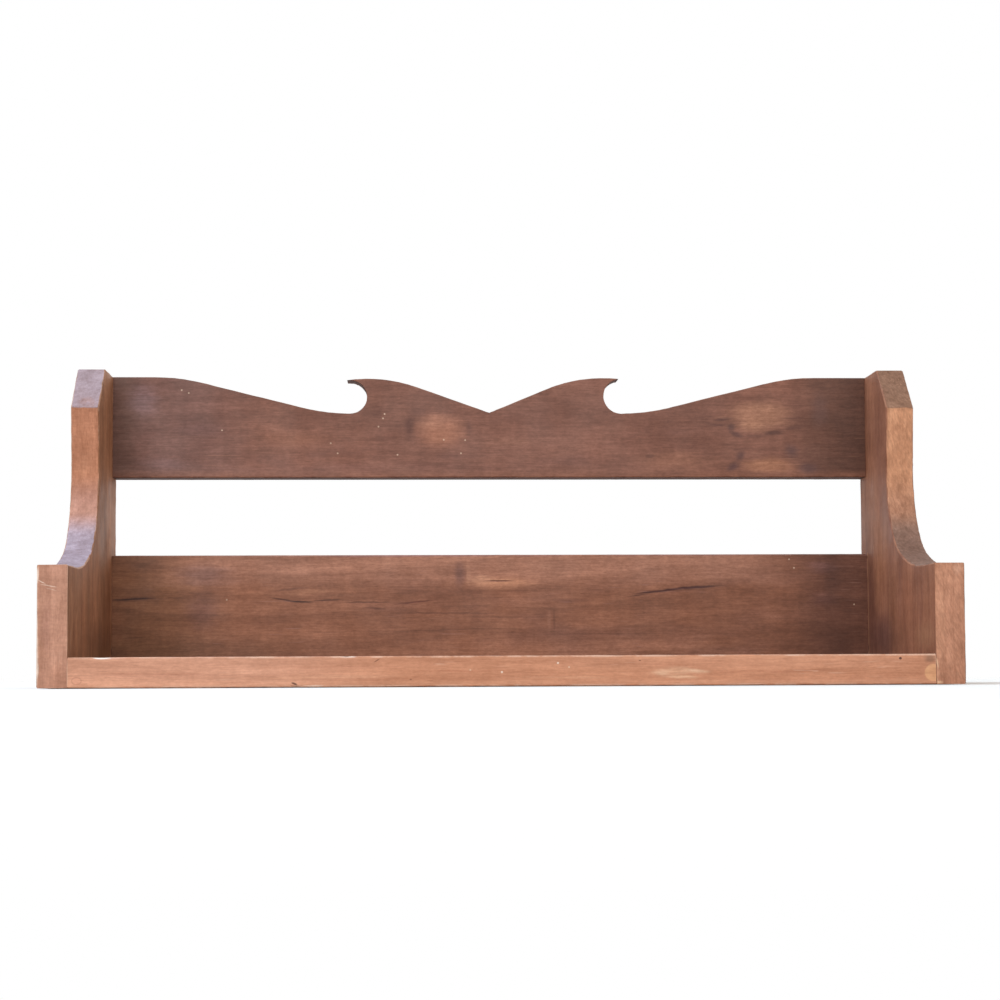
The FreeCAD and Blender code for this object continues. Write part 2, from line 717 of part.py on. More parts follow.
WASHER_HEAD = "Size.washer_head_height"
WASHER_HEAD_SCREW = (
    (prism("Size.washer_head_diameter / 2"), "0", WASHER_HEAD),
    (prism(SHANK_RADIUS), WASHER_HEAD, f"Size.screw_length - {WASHER_HEAD}"),
)
BACK_SCREW = (
    (countersunk(BACK_HEAD, "Size.flat_head_diameter / 2"), "0", BACK_HEAD),
    (prism(SHANK_RADIUS), BACK_HEAD, f"Size.back_screw_length - {BACK_HEAD}"),
)
HANGER_SCREW = (
    (countersunk(HANGER_HEAD, "Size.hanger_screw_head / 2"), "0", HANGER_HEAD),
    (prism(HANGER_SHANK_RADIUS), HANGER_HEAD, f"Size.hanger_screw_length - {HANGER_HEAD}"),
)
PLUG = ((cylinder("Size.plug_diameter / 2"), "0", f"{HEAD_DEPTH} - Size.plug_seat"),)
ON_AXIS = ("0", "0")


def fasten_side(name, hand):
    """Screws and plugs that hold one side to the rails and the shelf."""
    turn = 0 if hand < 0 else 180
    rows = (
        ("top_rail", RAIL_MIDDLE_Y, TOP_RAIL_MIDDLE_Z, top_rail_places(ON_AXIS)),
        ("bottom_rail", RAIL_MIDDLE_Y, LOW_RAIL_SCREWS_Z, bottom_rail_places(ON_AXIS)),
        ("shelf", SHELF_MIDDLE_Y, SHELF_MIDDLE_Z, shelf_places(ON_AXIS)),
    )
    pieces = []
    for board, along, up, places in rows:
        outer_face = (f"{hand} * {HALF_WIDTH}", along, up)
        seat = (f"{hand} * ({HALF_WIDTH} - {HEAD_DEPTH})", along, up)
        screws = f"{board}_screws_{name}"
        plugs = f"{board}_plugs_{name}"
        length = "Size.screw_length"
        pieces.append(fastener_row(screws, seat, turn, WASHER_HEAD_SCREW, places, length))
        pieces.append(fastener_row(plugs, outer_face, turn, PLUG, places))
    return pieces


def make_hanger(name, hand):
    """A keyhole plate, flush in the back edge of a side, and its two screws."""
    across = f"{hand} * ({HALF_WIDTH} - Size.side_thickness / 2)"
    plate = add_body(f"keyhole_plate_{name}", across, HALF_DEPTH, hanger_height("0"))
    outline = add_sketch(plate, "Outline", "XZ_Plane")
    half_width = "Size.hanger_width / 2"
    draw_rectangle(outline, f"-{half_width}", half_width, "0", "Size.hanger_length")
    pad(plate, outline, "Size.hanger_thickness")

    entry = add_sketch(plate, "Entry", "XZ_Plane")
    draw_circles(entry, "Size.entry_radius", [("0", "Size.entry_height")])
    pocket(plate, entry, "Size.hanger_thickness", reverse=True)
    slot = add_sketch(plate, "Slot", "XZ_Plane")
    slot_end = "Size.entry_height + Size.slot_travel"
    draw_upright_slot(slot, "Size.entry_height", slot_end, "Size.slot_width / 2")
    pocket(plate, slot, "Size.hanger_thickness", reverse=True)

    places = row_places(1, ("0", "Size.hanger_length / 2"), HANGER_SCREW_SPAN)
    hole = prism(HANGER_HOLE_RADIUS)
    shape_row(plate, CUT, hole, "XZ_Plane", "0", "Size.hanger_thickness", places)
    seat = countersunk(HANGER_HEAD, "Size.hanger_screw_head / 2 + Size.plug_play")
    shape_row(plate, CUT, seat, "XZ_Plane", "0", HANGER_HEAD, places)

    screws = fastener_row(
        f"keyhole_screws_{name}",
        (across, HALF_DEPTH, TOP_RAIL_MIDDLE_Z),
        FACING_THE_WALL,
        HANGER_SCREW,
        row_places(1, ON_AXIS, HANGER_SCREW_SPAN),
        "Size.hanger_screw_length",
    )
    return [plate, screws]


# ---------------------------------------------------------------- the rack


pieces = [make_shelf(), make_bottom_rail(), make_top_rail()]
for name, hand in (("left", -1), ("right", 1)):
    pieces.append(make_side(f"{name}_side", hand))
    pieces += fasten_side(name, hand)
    pieces += make_hanger(name, hand)
pieces.append(
    fastener_row(
        "shelf_back_screws",
        ("0", HALF_DEPTH, SHELF_MIDDLE_Z),
        FACING_THE_WALL,
        BACK_SCREW,
        back_places(ON_AXIS),
        "Size.back_screw_length",
    )
)
document.recompute()

for item in document.Objects:
    if "Invalid" in item.State or "Error" in item.State:
        raise ValueError(f"{item.Label} failed: {item.State}")
    if item.TypeId == "Sketcher::SketchObject" and not item.FullyConstrained:
        raise ValueError(f"{item.Label} is not fully held")
for piece in pieces:
    if piece.Shape.isNull() or not piece.Shape.isValid():
        raise ValueError(f"{piece.Label} has no valid shape")

os.makedirs("parts", exist_ok=True)
for piece in pieces:
    piece.Shape.exportStep(f"parts/{piece.Label}.step")
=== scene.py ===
"""Looks of a wall plate rack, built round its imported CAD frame.

The rack stands upright: X runs along it, -Y is the front, +Y the wall and +Z up. Blender works in
metres. The sizes and places of details are written in millimetres and turned into metres by MM.
"""

import logging
import math
from dataclasses import dataclass, field
from enum import Enum
from typing import Callable, Iterable, Sequence, Union

import bmesh
import bpy
from mathutils import Matrix, Vector


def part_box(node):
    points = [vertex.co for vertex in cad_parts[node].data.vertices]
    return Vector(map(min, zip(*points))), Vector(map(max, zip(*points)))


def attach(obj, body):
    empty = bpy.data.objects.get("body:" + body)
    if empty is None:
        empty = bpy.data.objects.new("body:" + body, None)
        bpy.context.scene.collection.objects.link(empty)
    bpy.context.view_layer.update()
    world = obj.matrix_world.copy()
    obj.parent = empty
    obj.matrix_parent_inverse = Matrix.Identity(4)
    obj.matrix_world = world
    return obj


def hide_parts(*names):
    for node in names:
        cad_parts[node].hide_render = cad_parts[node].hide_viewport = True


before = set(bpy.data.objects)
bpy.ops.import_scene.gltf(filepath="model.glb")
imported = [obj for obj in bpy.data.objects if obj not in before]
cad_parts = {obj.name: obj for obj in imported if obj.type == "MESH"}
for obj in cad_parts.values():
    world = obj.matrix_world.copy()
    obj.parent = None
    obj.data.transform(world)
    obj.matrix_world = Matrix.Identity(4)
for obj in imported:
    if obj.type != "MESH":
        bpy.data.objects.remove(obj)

LOG = logging.getLogger("plate_rack")
MM = 0.001
BODY = "root"
FRONT = -114.5
WALL = 114.5
RAIL_FACE = 94.5
SHELF_TOP = 20.0
SIDE_INNER = 285.0
SIDE_OUTER = 305.0
MARK_DEPTH = 4.0
CHIP_DEPTH = 1.5
SPECK_DEPTH = 2.0
SPECK_SIZE = 0.8

Screen = tuple[int, int, int]
Colour = tuple[float, float, float, float]
Triple = tuple[float, float, float]
Socket = bpy.types.NodeSocket
Piece = bpy.types.Object
Material = bpy.types.Material
Value = Union[Socket, float, Sequence[float]]
Tint = Union[Socket, Screen]
MarkRow = tuple[Union[float, Screen], ...]


def tone(screen: Screen) -> Colour:
    """A colour in the linear values that a shader takes.

    Args:
        screen: Its red, green and blue from 0 to 255, as a screen shows them.

    Returns:
        The same colour, linear and opaque.
    """
    red, green, blue = (
        level / 255 / 12.92 if level / 255 <= 0.04045 else ((level / 255 + 0.055) / 1.055) ** 2.4
        for level in screen
    )
    return (red, green, blue, 1.0)


DUST = (214, 190, 168)
SPECK = (218, 190, 166)
SOOT = (74, 46, 40)
STREAK = (72, 38, 32)


def metres(place: Triple) -> Vector:
    """A place or a reach in metres, from millimetres."""
    return Vector(place) * MM


# ------------------------------------------------------------------ shader trees


@dataclass(frozen=True)
class Weave:
    """A noise drawn out along the grain: its cells per metre along and across, and how fine it is."""

    along: float
    across: float
    detail: float = 2.0
    roughness: float = 0.5
    shift: Triple = (0.0, 0.0, 0.0)
    distortion: float = 0.0


LONG_CLOUDS = Weave(5.0, 17.0, 3.0, 0.55)
SHORT_CLOUDS = Weave(16.0, 60.0, 4.0, 0.62, (3.0, 1.0, 7.0))
HAZE = Weave(6.0, 21.0, 4.0, 0.6, (11.0, 5.0, 2.0))
STREAKS = Weave(34.0, 230.0, 4.0, 0.62)
RING_WANDER = Weave(2.2, 8.0)
RING_SHAKE = Weave(14.0, 70.0)
BANDS = Weave(6.0, 110.0, 3.0, 0.6)
FIBRES = Weave(30.0, 520.0, 4.0, 0.6)
HAIRS = Weave(110.0, 1500.0)
RIPPLE = Weave(170.0, 26.0)
MOTTLE = Weave(55.0, 110.0, 4.0, 0.65)
FLECKS = Weave(330.0, 620.0, 2.0, 0.65)
PORES = Weave(110.0, 1300.0, 1.0)
SCRATCHES = Weave(42.0, 900.0, 0.0, 0.5, (0.31, 0.17, 0.05), 0.6)


class Tree:
    """A material's node tree, with short calls for the nodes that the finishes use."""

    def __init__(self, name: str) -> None:
        """Start an empty material.

        Args:
            name: Name of the material.
        """
        self.material = bpy.data.materials.new(name)
        self.material.use_nodes = True
        self.nodes = self.material.node_tree.nodes
        self.links = self.material.node_tree.links
        self.nodes.clear()
        self.coordinates = self.nodes.new("ShaderNodeTexCoord")

    @property
    def place(self) -> Socket:
        """The point's place on the piece, in metres."""
        return self.coordinates.outputs["Object"]

    @property
    def facing(self) -> Socket:
        """The way the surface faces, in the piece's own axes."""
        return self.coordinates.outputs["Normal"]

    def put(self, socket: Socket, value: Value) -> None:
        """Link a socket to another, or give it a constant.

        Args:
            socket: Input to fill.
            value: Output to link it to, or the constant.
        """
        if isinstance(value, Socket):
            self.links.new(value, socket)
        else:
            socket.default_value = value

    def math(self, way: str, first: Value, second: Value = 0.0, clamp: bool = False) -> Socket:
        """A Math node.

        Args:
            way: Its operation.
            first: First number.
            second: Second number.
            clamp: Keep the result between 0 and 1.

        Returns:
            Its result.
        """
        node = self.nodes.new("ShaderNodeMath")
        node.operation = way
        node.use_clamp = clamp
        self.put(node.inputs[0], first)
        self.put(node.inputs[1], second)
        return node.outputs[0]

    def times(self, first: Value, second: Value) -> Socket:
        """The product of two numbers."""
        return self.math("MULTIPLY", first, second)

    def vector(self, way: str, *parts: Value) -> Socket:
        """A Vector Math node.

        Args:
            way: Its operation.
            *parts: Its vectors.

        Returns:
            Its result: a number for LENGTH, else a vector.
        """
        node = self.nodes.new("ShaderNodeVectorMath")
        node.operation = way
        for socket, part in zip(node.inputs, parts):
            self.put(socket, part)
        return node.outputs["Value" if way == "LENGTH" else "Vector"]

    def split(self, source: Socket) -> list[Socket]:
        """The three numbers of a vector.

        Args:
            source: The vector.

        Returns:
            Its X, Y and Z.
        """
        node = self.nodes.new("ShaderNodeSeparateXYZ")
        self.put(node.inputs[0], source)
        return list(node.outputs)

    def join(self, first: Value, second: Value, third: Value) -> Socket:
        """A vector of three numbers.

        Args:
            first: Its X.
            second: Its Y.
            third: Its Z.

        Returns:
            The vector.
        """
        node = self.nodes.new("ShaderNodeCombineXYZ")
        for socket, value in zip(node.inputs, (first, second, third)):
            self.put(socket, value)
        return node.outputs[0]

    def stretch(self, source: Value, scale: Triple, shift: Triple = (0.0, 0.0, 0.0)) -> Socket:
        """A vector stretched along its axes and then shifted."""
        return self.vector("MULTIPLY_ADD", source, scale, shift)

    def noise(
        self,
        source: Value,
        scale: float = 1.0,
        detail: float = 2.0,
        roughness: float = 0.5,
        distortion: float = 0.0,
    ) -> Socket:
        """A Noise texture.

        Args:
            source: Vector it is read at.
            scale: Cells per unit.
            detail: Octaves.
            roughness: Weight of the finer octaves.
            distortion: How far it is stirred.

        Returns:
            A number that stays near 0.5.
        """
        node = self.nodes.new("ShaderNodeTexNoise")
        self.put(node.inputs["Vector"], source)
        node.inputs["Scale"].default_value = scale
        node.inputs["Detail"].default_value = detail
        node.inputs["Roughness"].default_value = roughness
        node.inputs["Distortion"].default_value = distortion
        return node.outputs["Fac"]

    def spread(self, noise: Value, start: float = 0.0, end: float = 1.0) -> Socket:
        """A noise's usual range spread over start to end."""
        return self.ramp(noise, 0.3, 0.7, start, end)

    def stir(self, source: Value, scale: float, reach: float) -> Socket:
        """A vector pushed about by noise.

        Args:
            source: The vector.
            scale: Cells of the noise per unit.
            reach: How far it is pushed.

        Returns:
            The pushed vector.
        """
        node = self.nodes.new("ShaderNodeTexNoise")
        self.put(node.inputs["Vector"], source)
        node.inputs["Scale"].default_value = scale
        node.inputs["Detail"].default_value = 3.0
        push = self.vector("SUBTRACT", node.outputs["Color"], (0.5, 0.5, 0.5))
        return self.vector("ADD", source, self.vector("MULTIPLY", push, (reach, reach, reach)))

    def ramp(
        self,
        value: Value,
        low: float,
        high: float,
        start: float = 0.0,
        end: float = 1.0,
    ) -> Socket:
        """A smooth step from start to end as value goes from low to high.

        Args:
            value: What is read.
            low: Where the step begins.
            high: Where it ends.
            start: Result before the step.
            end: Result after it.

        Returns:
            The stepped number.
        """
        node = self.nodes.new("ShaderNodeMapRange")
        node.interpolation_type = "SMOOTHSTEP"
        self.put(node.inputs["Value"], value)
        node.inputs["From Min"].default_value = low
        node.inputs["From Max"].default_value = high
        node.inputs["To Min"].default_value = start
        node.inputs["To Max"].default_value = end
        return node.outputs["Result"]

    def blend(self, share: Value, first: Tint, second: Tint) -> Socket:
        """A Mix node for colours.

        Args:
            share: How much of the second colour.
            first: First colour, linked or as a screen shows it.
            second: Second colour.

        Returns:
            The mixed colour.
        """
        node = self.nodes.new("ShaderNodeMix")
        node.data_type = "RGBA"
        self.put(node.inputs[0], share)
        for socket, colour in ((node.inputs[6], first), (node.inputs[7], second)):
            self.put(socket, colour if isinstance(colour, Socket) else tone(colour))
        return node.outputs[2]

    def attribute(self, name: str) -> Socket:
        """A number that the mesh carries.

        Args:
            name: Name of the mesh's attribute.

        Returns:
            The number.
        """
        node = self.nodes.new("ShaderNodeAttribute")
        node.attribute_name = name
        return node.outputs["Fac"]

    def bump(self, height: Value, depth: float, strength: float = 1.0) -> Socket:
        """A Bump node.

        Args:
            height: Relief, 0 to 1.
            depth: Height of the relief in metres.
            strength: Its strength.

        Returns:
            The bent normal.
        """
        node = self.nodes.new("ShaderNodeBump")
        node.inputs["Strength"].default_value = strength
        node.inputs["Distance"].default_value = depth
        self.put(node.inputs["Height"], height)
        return node.outputs["Normal"]

    def finish(self, **inputs: Value) -> Material:
        """Close the tree with a Principled shader.

        Args:
            **inputs: Its inputs, with underscores for spaces.

        Returns:
            The material.
        """
        shader = self.nodes.new("ShaderNodeBsdfPrincipled")
        for name, value in inputs.items():
            self.put(shader.inputs[name.replace("_", " ")], value)
        output = self.nodes.new("ShaderNodeOutputMaterial")
        self.links.new(shader.outputs[0], output.inputs["Surface"])
        return self.material


# ------------------------------------------------------------------ finishes


class Grain(Enum):
    """How a board was cut: its axes along the grain, across its face and through it."""

    RAIL = (0, 2, 1)
    SHELF = (0, 1, 2)
    SIDE = (2, 1, 0)
    PLUG = (1, 2, 0)


@dataclass(frozen=True)
class Mark:
    """A spot, smear or streak in the finish: an ellipsoid about a place, in millimetres."""

    at: Triple
    reach: Triple
    colour: Screen
    strength: float = 0.5
    softness: float = 0.6
    turn: float = 0.0
    ragged: float = 1.3


@dataclass(frozen=True)
class Zone:
    """A box, in millimetres, in which the stain has another colour.

    Softness is the width of the borders along X, Y and Z, inside the box.
    """

    low: Triple
    high: Triple
    colour: Screen
    strength: float = 0.5
    softness: Triple = (4.0, 1.0, 4.0)
    ragged: float = 2.0
    only_sawn: bool = False


@dataclass(frozen=True)
class Figure:
    """How strongly each part of the grain shows, as a share of the wood's brightness."""

    rings: float = 0.07
    bands: float = 0.06
    fibres: float = 0.09
    hairs: float = 0.07
    pores: float = 0.18
    ripple: float = 0.04
    mottle: float = 0.10
    fleck: float = 0.10


@dataclass(frozen=True)
class StainedWood:
    """Stained and worn wood, solid through the board, with its growth rings."""

    name: str
    grain: Grain
    dark: Screen
    light: Screen
    haze: Screen
    worn: Screen
    figure: Figure = Figure()
    heart: tuple[float, float] = (30.0, -70.0)
    ring_width: float = 5.0
    haze_strength: float = 0.45
    saw_marks: float = 0.0
    saw_turn: float = 0.0
    shift: Triple = (0.0, 0.0, 0.0)
    roughness: float = 0.46
    sawn_roughness: float = 0.8
    gloss: float = 0.32
    relief: float = 0.1
    ring_wander: float = 34.0
    ring_shake: float = 3.0
    end_grain: float = 0.84
    edge_wear: float = 0.35
    zones: tuple[Zone, ...] = ()
    marks: tuple[Mark, ...] = ()

    def make(self) -> Material:
        """Build the material."""
        return WoodTree(self).build()


class WoodTree(Tree):
    """The node tree of a stained board."""

    def __init__(self, wood: StainedWood) -> None:
        """Start the tree with what its parts read.

        Args:
            wood: The finish to build.
        """
        super().__init__(wood.name)
        self.wood = wood
        axes = self.split(self.place)
        board = self.join(*(axes[index] for index in wood.grain.value))
        self.board = self.vector("ADD", board, wood.shift)
        self.stirred = self.stir(self.stir(self.place, 30.0, 2.0 * MM), 160.0, 0.9 * MM)
        self.streaky = self.math("SUBTRACT", self.grained(STREAKS), 0.5)
        self.sawn = self.ramp(self.squareness(2), 0.4, 0.75, 1.0, 0.0)

    def grained(self, weave: Weave) -> Socket:
        """Noise drawn out along the grain, near 0.5."""
        place = self.stretch(self.board, (weave.along, weave.across, weave.across), weave.shift)
        return self.noise(place, 1.0, weave.detail, weave.roughness, weave.distortion)

    def squareness(self, index: int) -> Socket:
        """How squarely the surface faces along, across or through the board."""
        return self.math("ABSOLUTE", self.split(self.facing)[self.wood.grain.value[index]])

    def build(self) -> Material:
        """Build the whole tree.

        Returns:
            The material, ready for a piece.
        """
        wood = self.wood
        colour = self._stain()
        for zone in wood.zones:
            colour = self.blend(self._zone_share(zone), colour, zone.colour)
        for mark in wood.marks:
            colour = self.blend(self._mark_share(mark), colour, mark.colour)
        lightness, relief = self._grain_lightness()
        colour = self.vector("MULTIPLY", colour, lightness)
        if wood.saw_marks:
            ridges = self._saw_ridges()
            colour = self.vector("MULTIPLY", colour, self.math("ADD", 1.0, ridges))
            relief = self.math("ADD", relief, ridges)
        colour = self._grime(colour)
        gaps = self.ramp(self.noise(self.place, 55.0, 4.0, 0.65), 0.40, 0.60)
        rubbed = self.times(self.attribute("edge"), gaps)
        colour = self.blend(self.times(rubbed, wood.edge_wear), colour, wood.worn)
        patchy = self.noise(self.board, 34.0, 3.0)
        rough = self.spread(patchy, wood.roughness - 0.06, wood.roughness + 0.10)
        rough = self.math("ADD", rough, self.times(rubbed, 0.12))
        return self.finish(
            Base_Color=colour,
            Roughness=self.math("MAXIMUM", rough, self.times(self.sawn, wood.sawn_roughness)),
            Normal=self.bump(relief, wood.relief * MM, 0.5),
            Specular_IOR_Level=wood.gloss,
        )

    def _stain(self) -> Socket:
        """Uneven stain: long light and dark clouds with a haze of another hue.

        Returns:
            The colour.
        """
        long, short = self.grained(LONG_CLOUDS), self.grained(SHORT_CLOUDS)
        share = self.math("ADD", self.times(long, 0.62), self.times(short, 0.38))
        colour = self.blend(self.ramp(share, 0.36, 0.64), self.wood.dark, self.wood.light)
        veil = self.ramp(self.grained(HAZE), 0.48, 0.70, 0.0, self.wood.haze_strength)
        return self.blend(veil, colour, self.wood.haze)

    def _grain_lightness(self) -> tuple[Socket, Socket]:
        """Growth rings, long bands, fibres, hairs, pores and a ripple across the grain.

        Returns:
            What the colour is multiplied by, in which dark grain is redder, and the grain's relief.
        """
        figure = self.wood.figure
        late, fibre = self._late_wood(), self.grained(FIBRES)
        total = self.ramp(self.grained(BANDS), 0.32, 0.68, 1.0 - figure.bands, 1.0 + figure.bands)
        total = self.times(total, self.spread(fibre, 1.0 - figure.fibres, 1.0 + figure.fibres))
        for weave, weight in (
            (HAIRS, figure.hairs),
            (RIPPLE, figure.ripple),
            (MOTTLE, figure.mottle),
            (FLECKS, figure.fleck),
        ):
            total = self.times(total, self.spread(self.grained(weave), 1.0 - weight, 1.0 + weight))
        for darker in (
            self.ramp(late, 0.0, 1.0, 1.0, 1.0 - figure.rings),
            self.ramp(self.grained(PORES), 0.64, 0.74, 1.0, 1.0 - figure.pores),
            self.ramp(self.squareness(0), 0.55, 0.95, 1.0, self.wood.end_grain),
        ):
            total = self.times(total, darker)
        green, blue = self.math("POWER", total, 1.16), self.math("POWER", total, 1.26)
        return self.join(total, green, blue), self.math("ADD", self.times(late, 0.3), fibre)

    def _late_wood(self) -> Socket:
        """Growth rings about the heart.

        Returns:
            Zero in a ring's early wood, rising to one in its late wood.
        """
        wood = self.wood
        across, through = (value * MM for value in wood.heart)
        flat = self.stretch(self.board, (0.03, 1.0, 1.0), (0.0, -across, -through))
        radius = self.vector("LENGTH", flat)
        for weave, reach in ((RING_WANDER, wood.ring_wander), (RING_SHAKE, wood.ring_shake)):
            radius = self.math("ADD", radius, self.times(self.grained(weave), reach * MM))
        turns = self.math("FRACT", self.math("DIVIDE", radius, wood.ring_width * MM))
        return self.times(self.ramp(turns, 0.1, 0.9), self.ramp(turns, 0.9, 1.0, 1.0, 0.0))

    def _zone_share(self, zone: Zone) -> Socket:
        """How much of a zone's colour shows.

        Args:
            zone: The zone.

        Returns:
            A share, zero outside the zone.
        """
        low, high = metres(zone.low), metres(zone.high)
        push = self.vector("SUBTRACT", self.stirred, self.place)
        push = self.vector("MULTIPLY", push, (zone.ragged,) * 3)
        offset = self.vector("SUBTRACT", self.vector("ADD", self.place, push), (low + high) / 2)
        outside = self.vector("SUBTRACT", self.vector("ABSOLUTE", offset), (high - low) / 2)
        first, second, third = self.split(self.vector("DIVIDE", outside, metres(zone.softness)))
        beyond = self.math("MAXIMUM", self.math("MAXIMUM", first, second), third)
        share = self.ramp(beyond, -1.0, 0.0, zone.strength, 0.0)
        return self.times(share, self.sawn) if zone.only_sawn else share

    def _mark_share(self, mark: Mark) -> Socket:
        """How much of a mark's colour shows.

        Args:
            mark: The mark.

        Returns:
            A share, zero away from the mark.
        """
        node = self.nodes.new("ShaderNodeMapping")
        node.vector_type = "TEXTURE"
        self.put(node.inputs["Vector"], self.stirred if mark.ragged else self.place)
        node.inputs["Location"].default_value = metres(mark.at)
        node.inputs["Rotation"].default_value = (0.0, -math.radians(mark.turn), 0.0)
        node.inputs["Scale"].default_value = metres(mark.reach)
        away = self.vector("LENGTH", node.outputs[0])
        if mark.ragged:
            away = self.math("ADD", away, self.times(self.streaky, mark.ragged))
        return self.ramp(away, 1.0 - mark.softness, 1.0, mark.strength, 0.0)

    def _grime(self, colour: Socket) -> Socket:
        """Fine scratches and pale dust specks.

        Args:
            colour: Colour under them.

        Returns:
            The colour with them.
        """
        lines = self.ramp(self.grained(SCRATCHES), 0.70, 0.76, 0.0, 0.3)
        gate = self.ramp(self.noise(self.board, 26.0, 1.0), 0.52, 0.7)
        colour = self.blend(self.times(lines, gate), colour, self.wood.worn)
        cells = self.nodes.new("ShaderNodeTexVoronoi")
        self.put(cells.inputs["Vector"], self.place)
        cells.inputs["Scale"].default_value = 58.0
        spot = self.ramp(cells.outputs["Distance"], 0.014, 0.026, 0.8, 0.0)
        chosen = self.ramp(self.split(cells.outputs["Color"])[0], 0.93, 0.94)
        return self.blend(self.times(spot, chosen), colour, DUST)

    def _saw_ridges(self) -> Socket:
        """Short slanting ridges that the saw left on cut edges.

        Returns:
            Their height, about zero.
        """
        turned = self.nodes.new("ShaderNodeMapping")
        self.put(turned.inputs["Vector"], self.place)
        turned.inputs["Rotation"].default_value = (0.0, math.radians(self.wood.saw_turn), 0.0)
        ridges = self.noise(self.stretch(turned.outputs[0], (620.0, 300.0, 190.0)), 1.0, 3.0, 0.6)
        return self.times(self.spread(ridges, -self.wood.saw_marks, self.wood.saw_marks), self.sawn)


@dataclass(frozen=True)
class PlatedSteel:
    """Bright plated steel with brushing, dull spots and a little rust."""

    name: str
    plate: Screen = (176, 172, 160)
    dull: Screen = (132, 126, 116)
    rust: Screen = (112, 66, 40)
    rust_from: float = 0.66

    def make(self) -> Material:
        """Build the material.

        Returns:
            The material, ready for a piece.
        """
        tree = Tree(self.name)
        cloud = tree.noise(tree.place, 240.0, 3.0, 0.6)
        brush = tree.noise(tree.stretch(tree.place, (2600.0, 300.0, 220.0)), 1.0, 2.0)
        spots = tree.ramp(tree.noise(tree.place, 520.0, 4.0, 0.7), self.rust_from, self.rust_from + 0.1)
        colour = tree.blend(tree.ramp(cloud, 0.35, 0.65), self.plate, self.dull)
        colour = tree.blend(spots, colour, self.rust)
        rough = tree.math("ADD", tree.spread(cloud, 0.26, 0.46), tree.math("MULTIPLY", spots, 0.4))
        return tree.finish(
            Base_Color=colour,
            Metallic=tree.math("SUBTRACT", 1.0, spots, True),
            Roughness=rough,
            Normal=tree.bump(brush, 0.00002, 0.5),
        )


@dataclass(frozen=True)
class PaleFloor:
    """A plain pale floor that keeps the rack's shadow."""

    name: str = "pale_floor"
    colour: Screen = (232, 230, 226)
    fleck: Screen = (236, 234, 230)
    fade_from: float = 0.5
    fade_to: float = 1.5

    def make(self) -> Material:
        """Build the material.

        Returns:
            The material, ready for the floor.
        """
        tree = Tree(self.name)
        fleck = tree.noise(tree.place, 60.0, 3.0)
        colour = tree.blend(tree.spread(fleck), self.colour, self.fleck)
        away = tree.vector("LENGTH", tree.place)
        return tree.finish(
            Base_Color=colour,
            Roughness=0.9,
            Specular_IOR_Level=0.2,
            Alpha=tree.ramp(away, self.fade_from, self.fade_to, 1.0, 0.0),
        )


# ------------------------------------------------------------------ modelling


MERGE_WITHIN = 0.000002
FLAT_WITHIN = math.radians(0.4)
SHARP_EDGE = math.radians(20)
RIM_EDGE = math.radians(60)
FACE_WEIGHT = 90


def leave_alone() -> None:
    """Go to object mode with nothing selected."""
    if bpy.context.mode != "OBJECT":
        bpy.ops.object.mode_set(mode="OBJECT")
    bpy.ops.object.select_all(action="DESELECT")


def hold(piece: Piece) -> None:
    """Make a piece the only one that operators act on.

    Args:
        piece: The piece.
    """
    leave_alone()
    piece.select_set(True)
    bpy.context.view_layer.objects.active = piece


def edit(piece: Piece, mode: str = "VERT", everything: bool = True) -> bmesh.types.BMesh:
    """Open a piece in edit mode.

    Args:
        piece: The piece.
        mode: What is selected: VERT, EDGE or FACE.
        everything: Select all of it, else none.

    Returns:
        Its mesh, for selecting by place or normal.
    """
    hold(piece)
    bpy.ops.object.mode_set(mode="EDIT")
    bpy.ops.mesh.select_mode(type=mode)
    bpy.ops.mesh.select_all(action="SELECT" if everything else "DESELECT")
    return bmesh.from_edit_mesh(piece.data)


def pick(piece: Piece, mode: str, wanted: Callable[..., bool]) -> int:
    """Select the parts of an open mesh that pass a test.

    Args:
        piece: Piece in edit mode.
        mode: VERT, EDGE or FACE.
        wanted: The test.

    Returns:
        How many passed.
    """
    bpy.ops.mesh.select_mode(type=mode)
    bpy.ops.mesh.select_all(action="DESELECT")
    mesh = bmesh.from_edit_mesh(piece.data)
    parts = {"VERT": mesh.verts, "EDGE": mesh.edges, "FACE": mesh.faces}[mode]
    count = 0
    for part in parts:
        if wanted(part):
            part.select = True
            count += 1
    mesh.select_flush_mode()
    bmesh.update_edit_mesh(piece.data)
    return count


def apply_modifiers(piece: Piece) -> None:
    """Apply all of a piece's modifiers.

    Args:
        piece: The piece.
    """
    hold(piece)
    for modifier in list(piece.modifiers):
        bpy.ops.object.modifier_apply(modifier=modifier.name)


def soften(piece: Piece, angle: float = 40.0) -> None:
    """Smooth a piece's shading, with its large faces kept flat.

    Args:
        piece: The piece.
        angle: Edges sharper than this stay sharp, in degrees.
    """
    hold(piece)
    bpy.ops.object.shade_smooth_by_angle(angle=math.radians(angle))
    weighted = piece.modifiers.new("weighted", "WEIGHTED_NORMAL")
    weighted.keep_sharp = True
    weighted.weight = FACE_WEIGHT
    apply_modifiers(piece)


def merged_copy(node: str, name: str) -> Piece:
    """A copy of a CAD node's mesh, with its loose triangles merged into faces.

    Args:
        node: The node.
        name: Name of the new piece.

    Returns:
        The new piece.
    """
    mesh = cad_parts[node].data.copy()
    mesh.name = name
    mesh.materials.clear()
    piece = bpy.data.objects.new(name, mesh)
    bpy.context.scene.collection.objects.link(piece)
    edit(piece)
    bpy.ops.mesh.customdata_custom_splitnormals_clear()
    bpy.ops.mesh.remove_doubles(threshold=MERGE_WITHIN)
    bpy.ops.mesh.dissolve_limited(angle_limit=FLAT_WITHIN)
    leave_alone()
    return piece


def middle_of(edge: bmesh.types.BMEdge) -> Vector:
    """The middle of an edge."""
    return (edge.verts[0].co + edge.verts[1].co) / 2


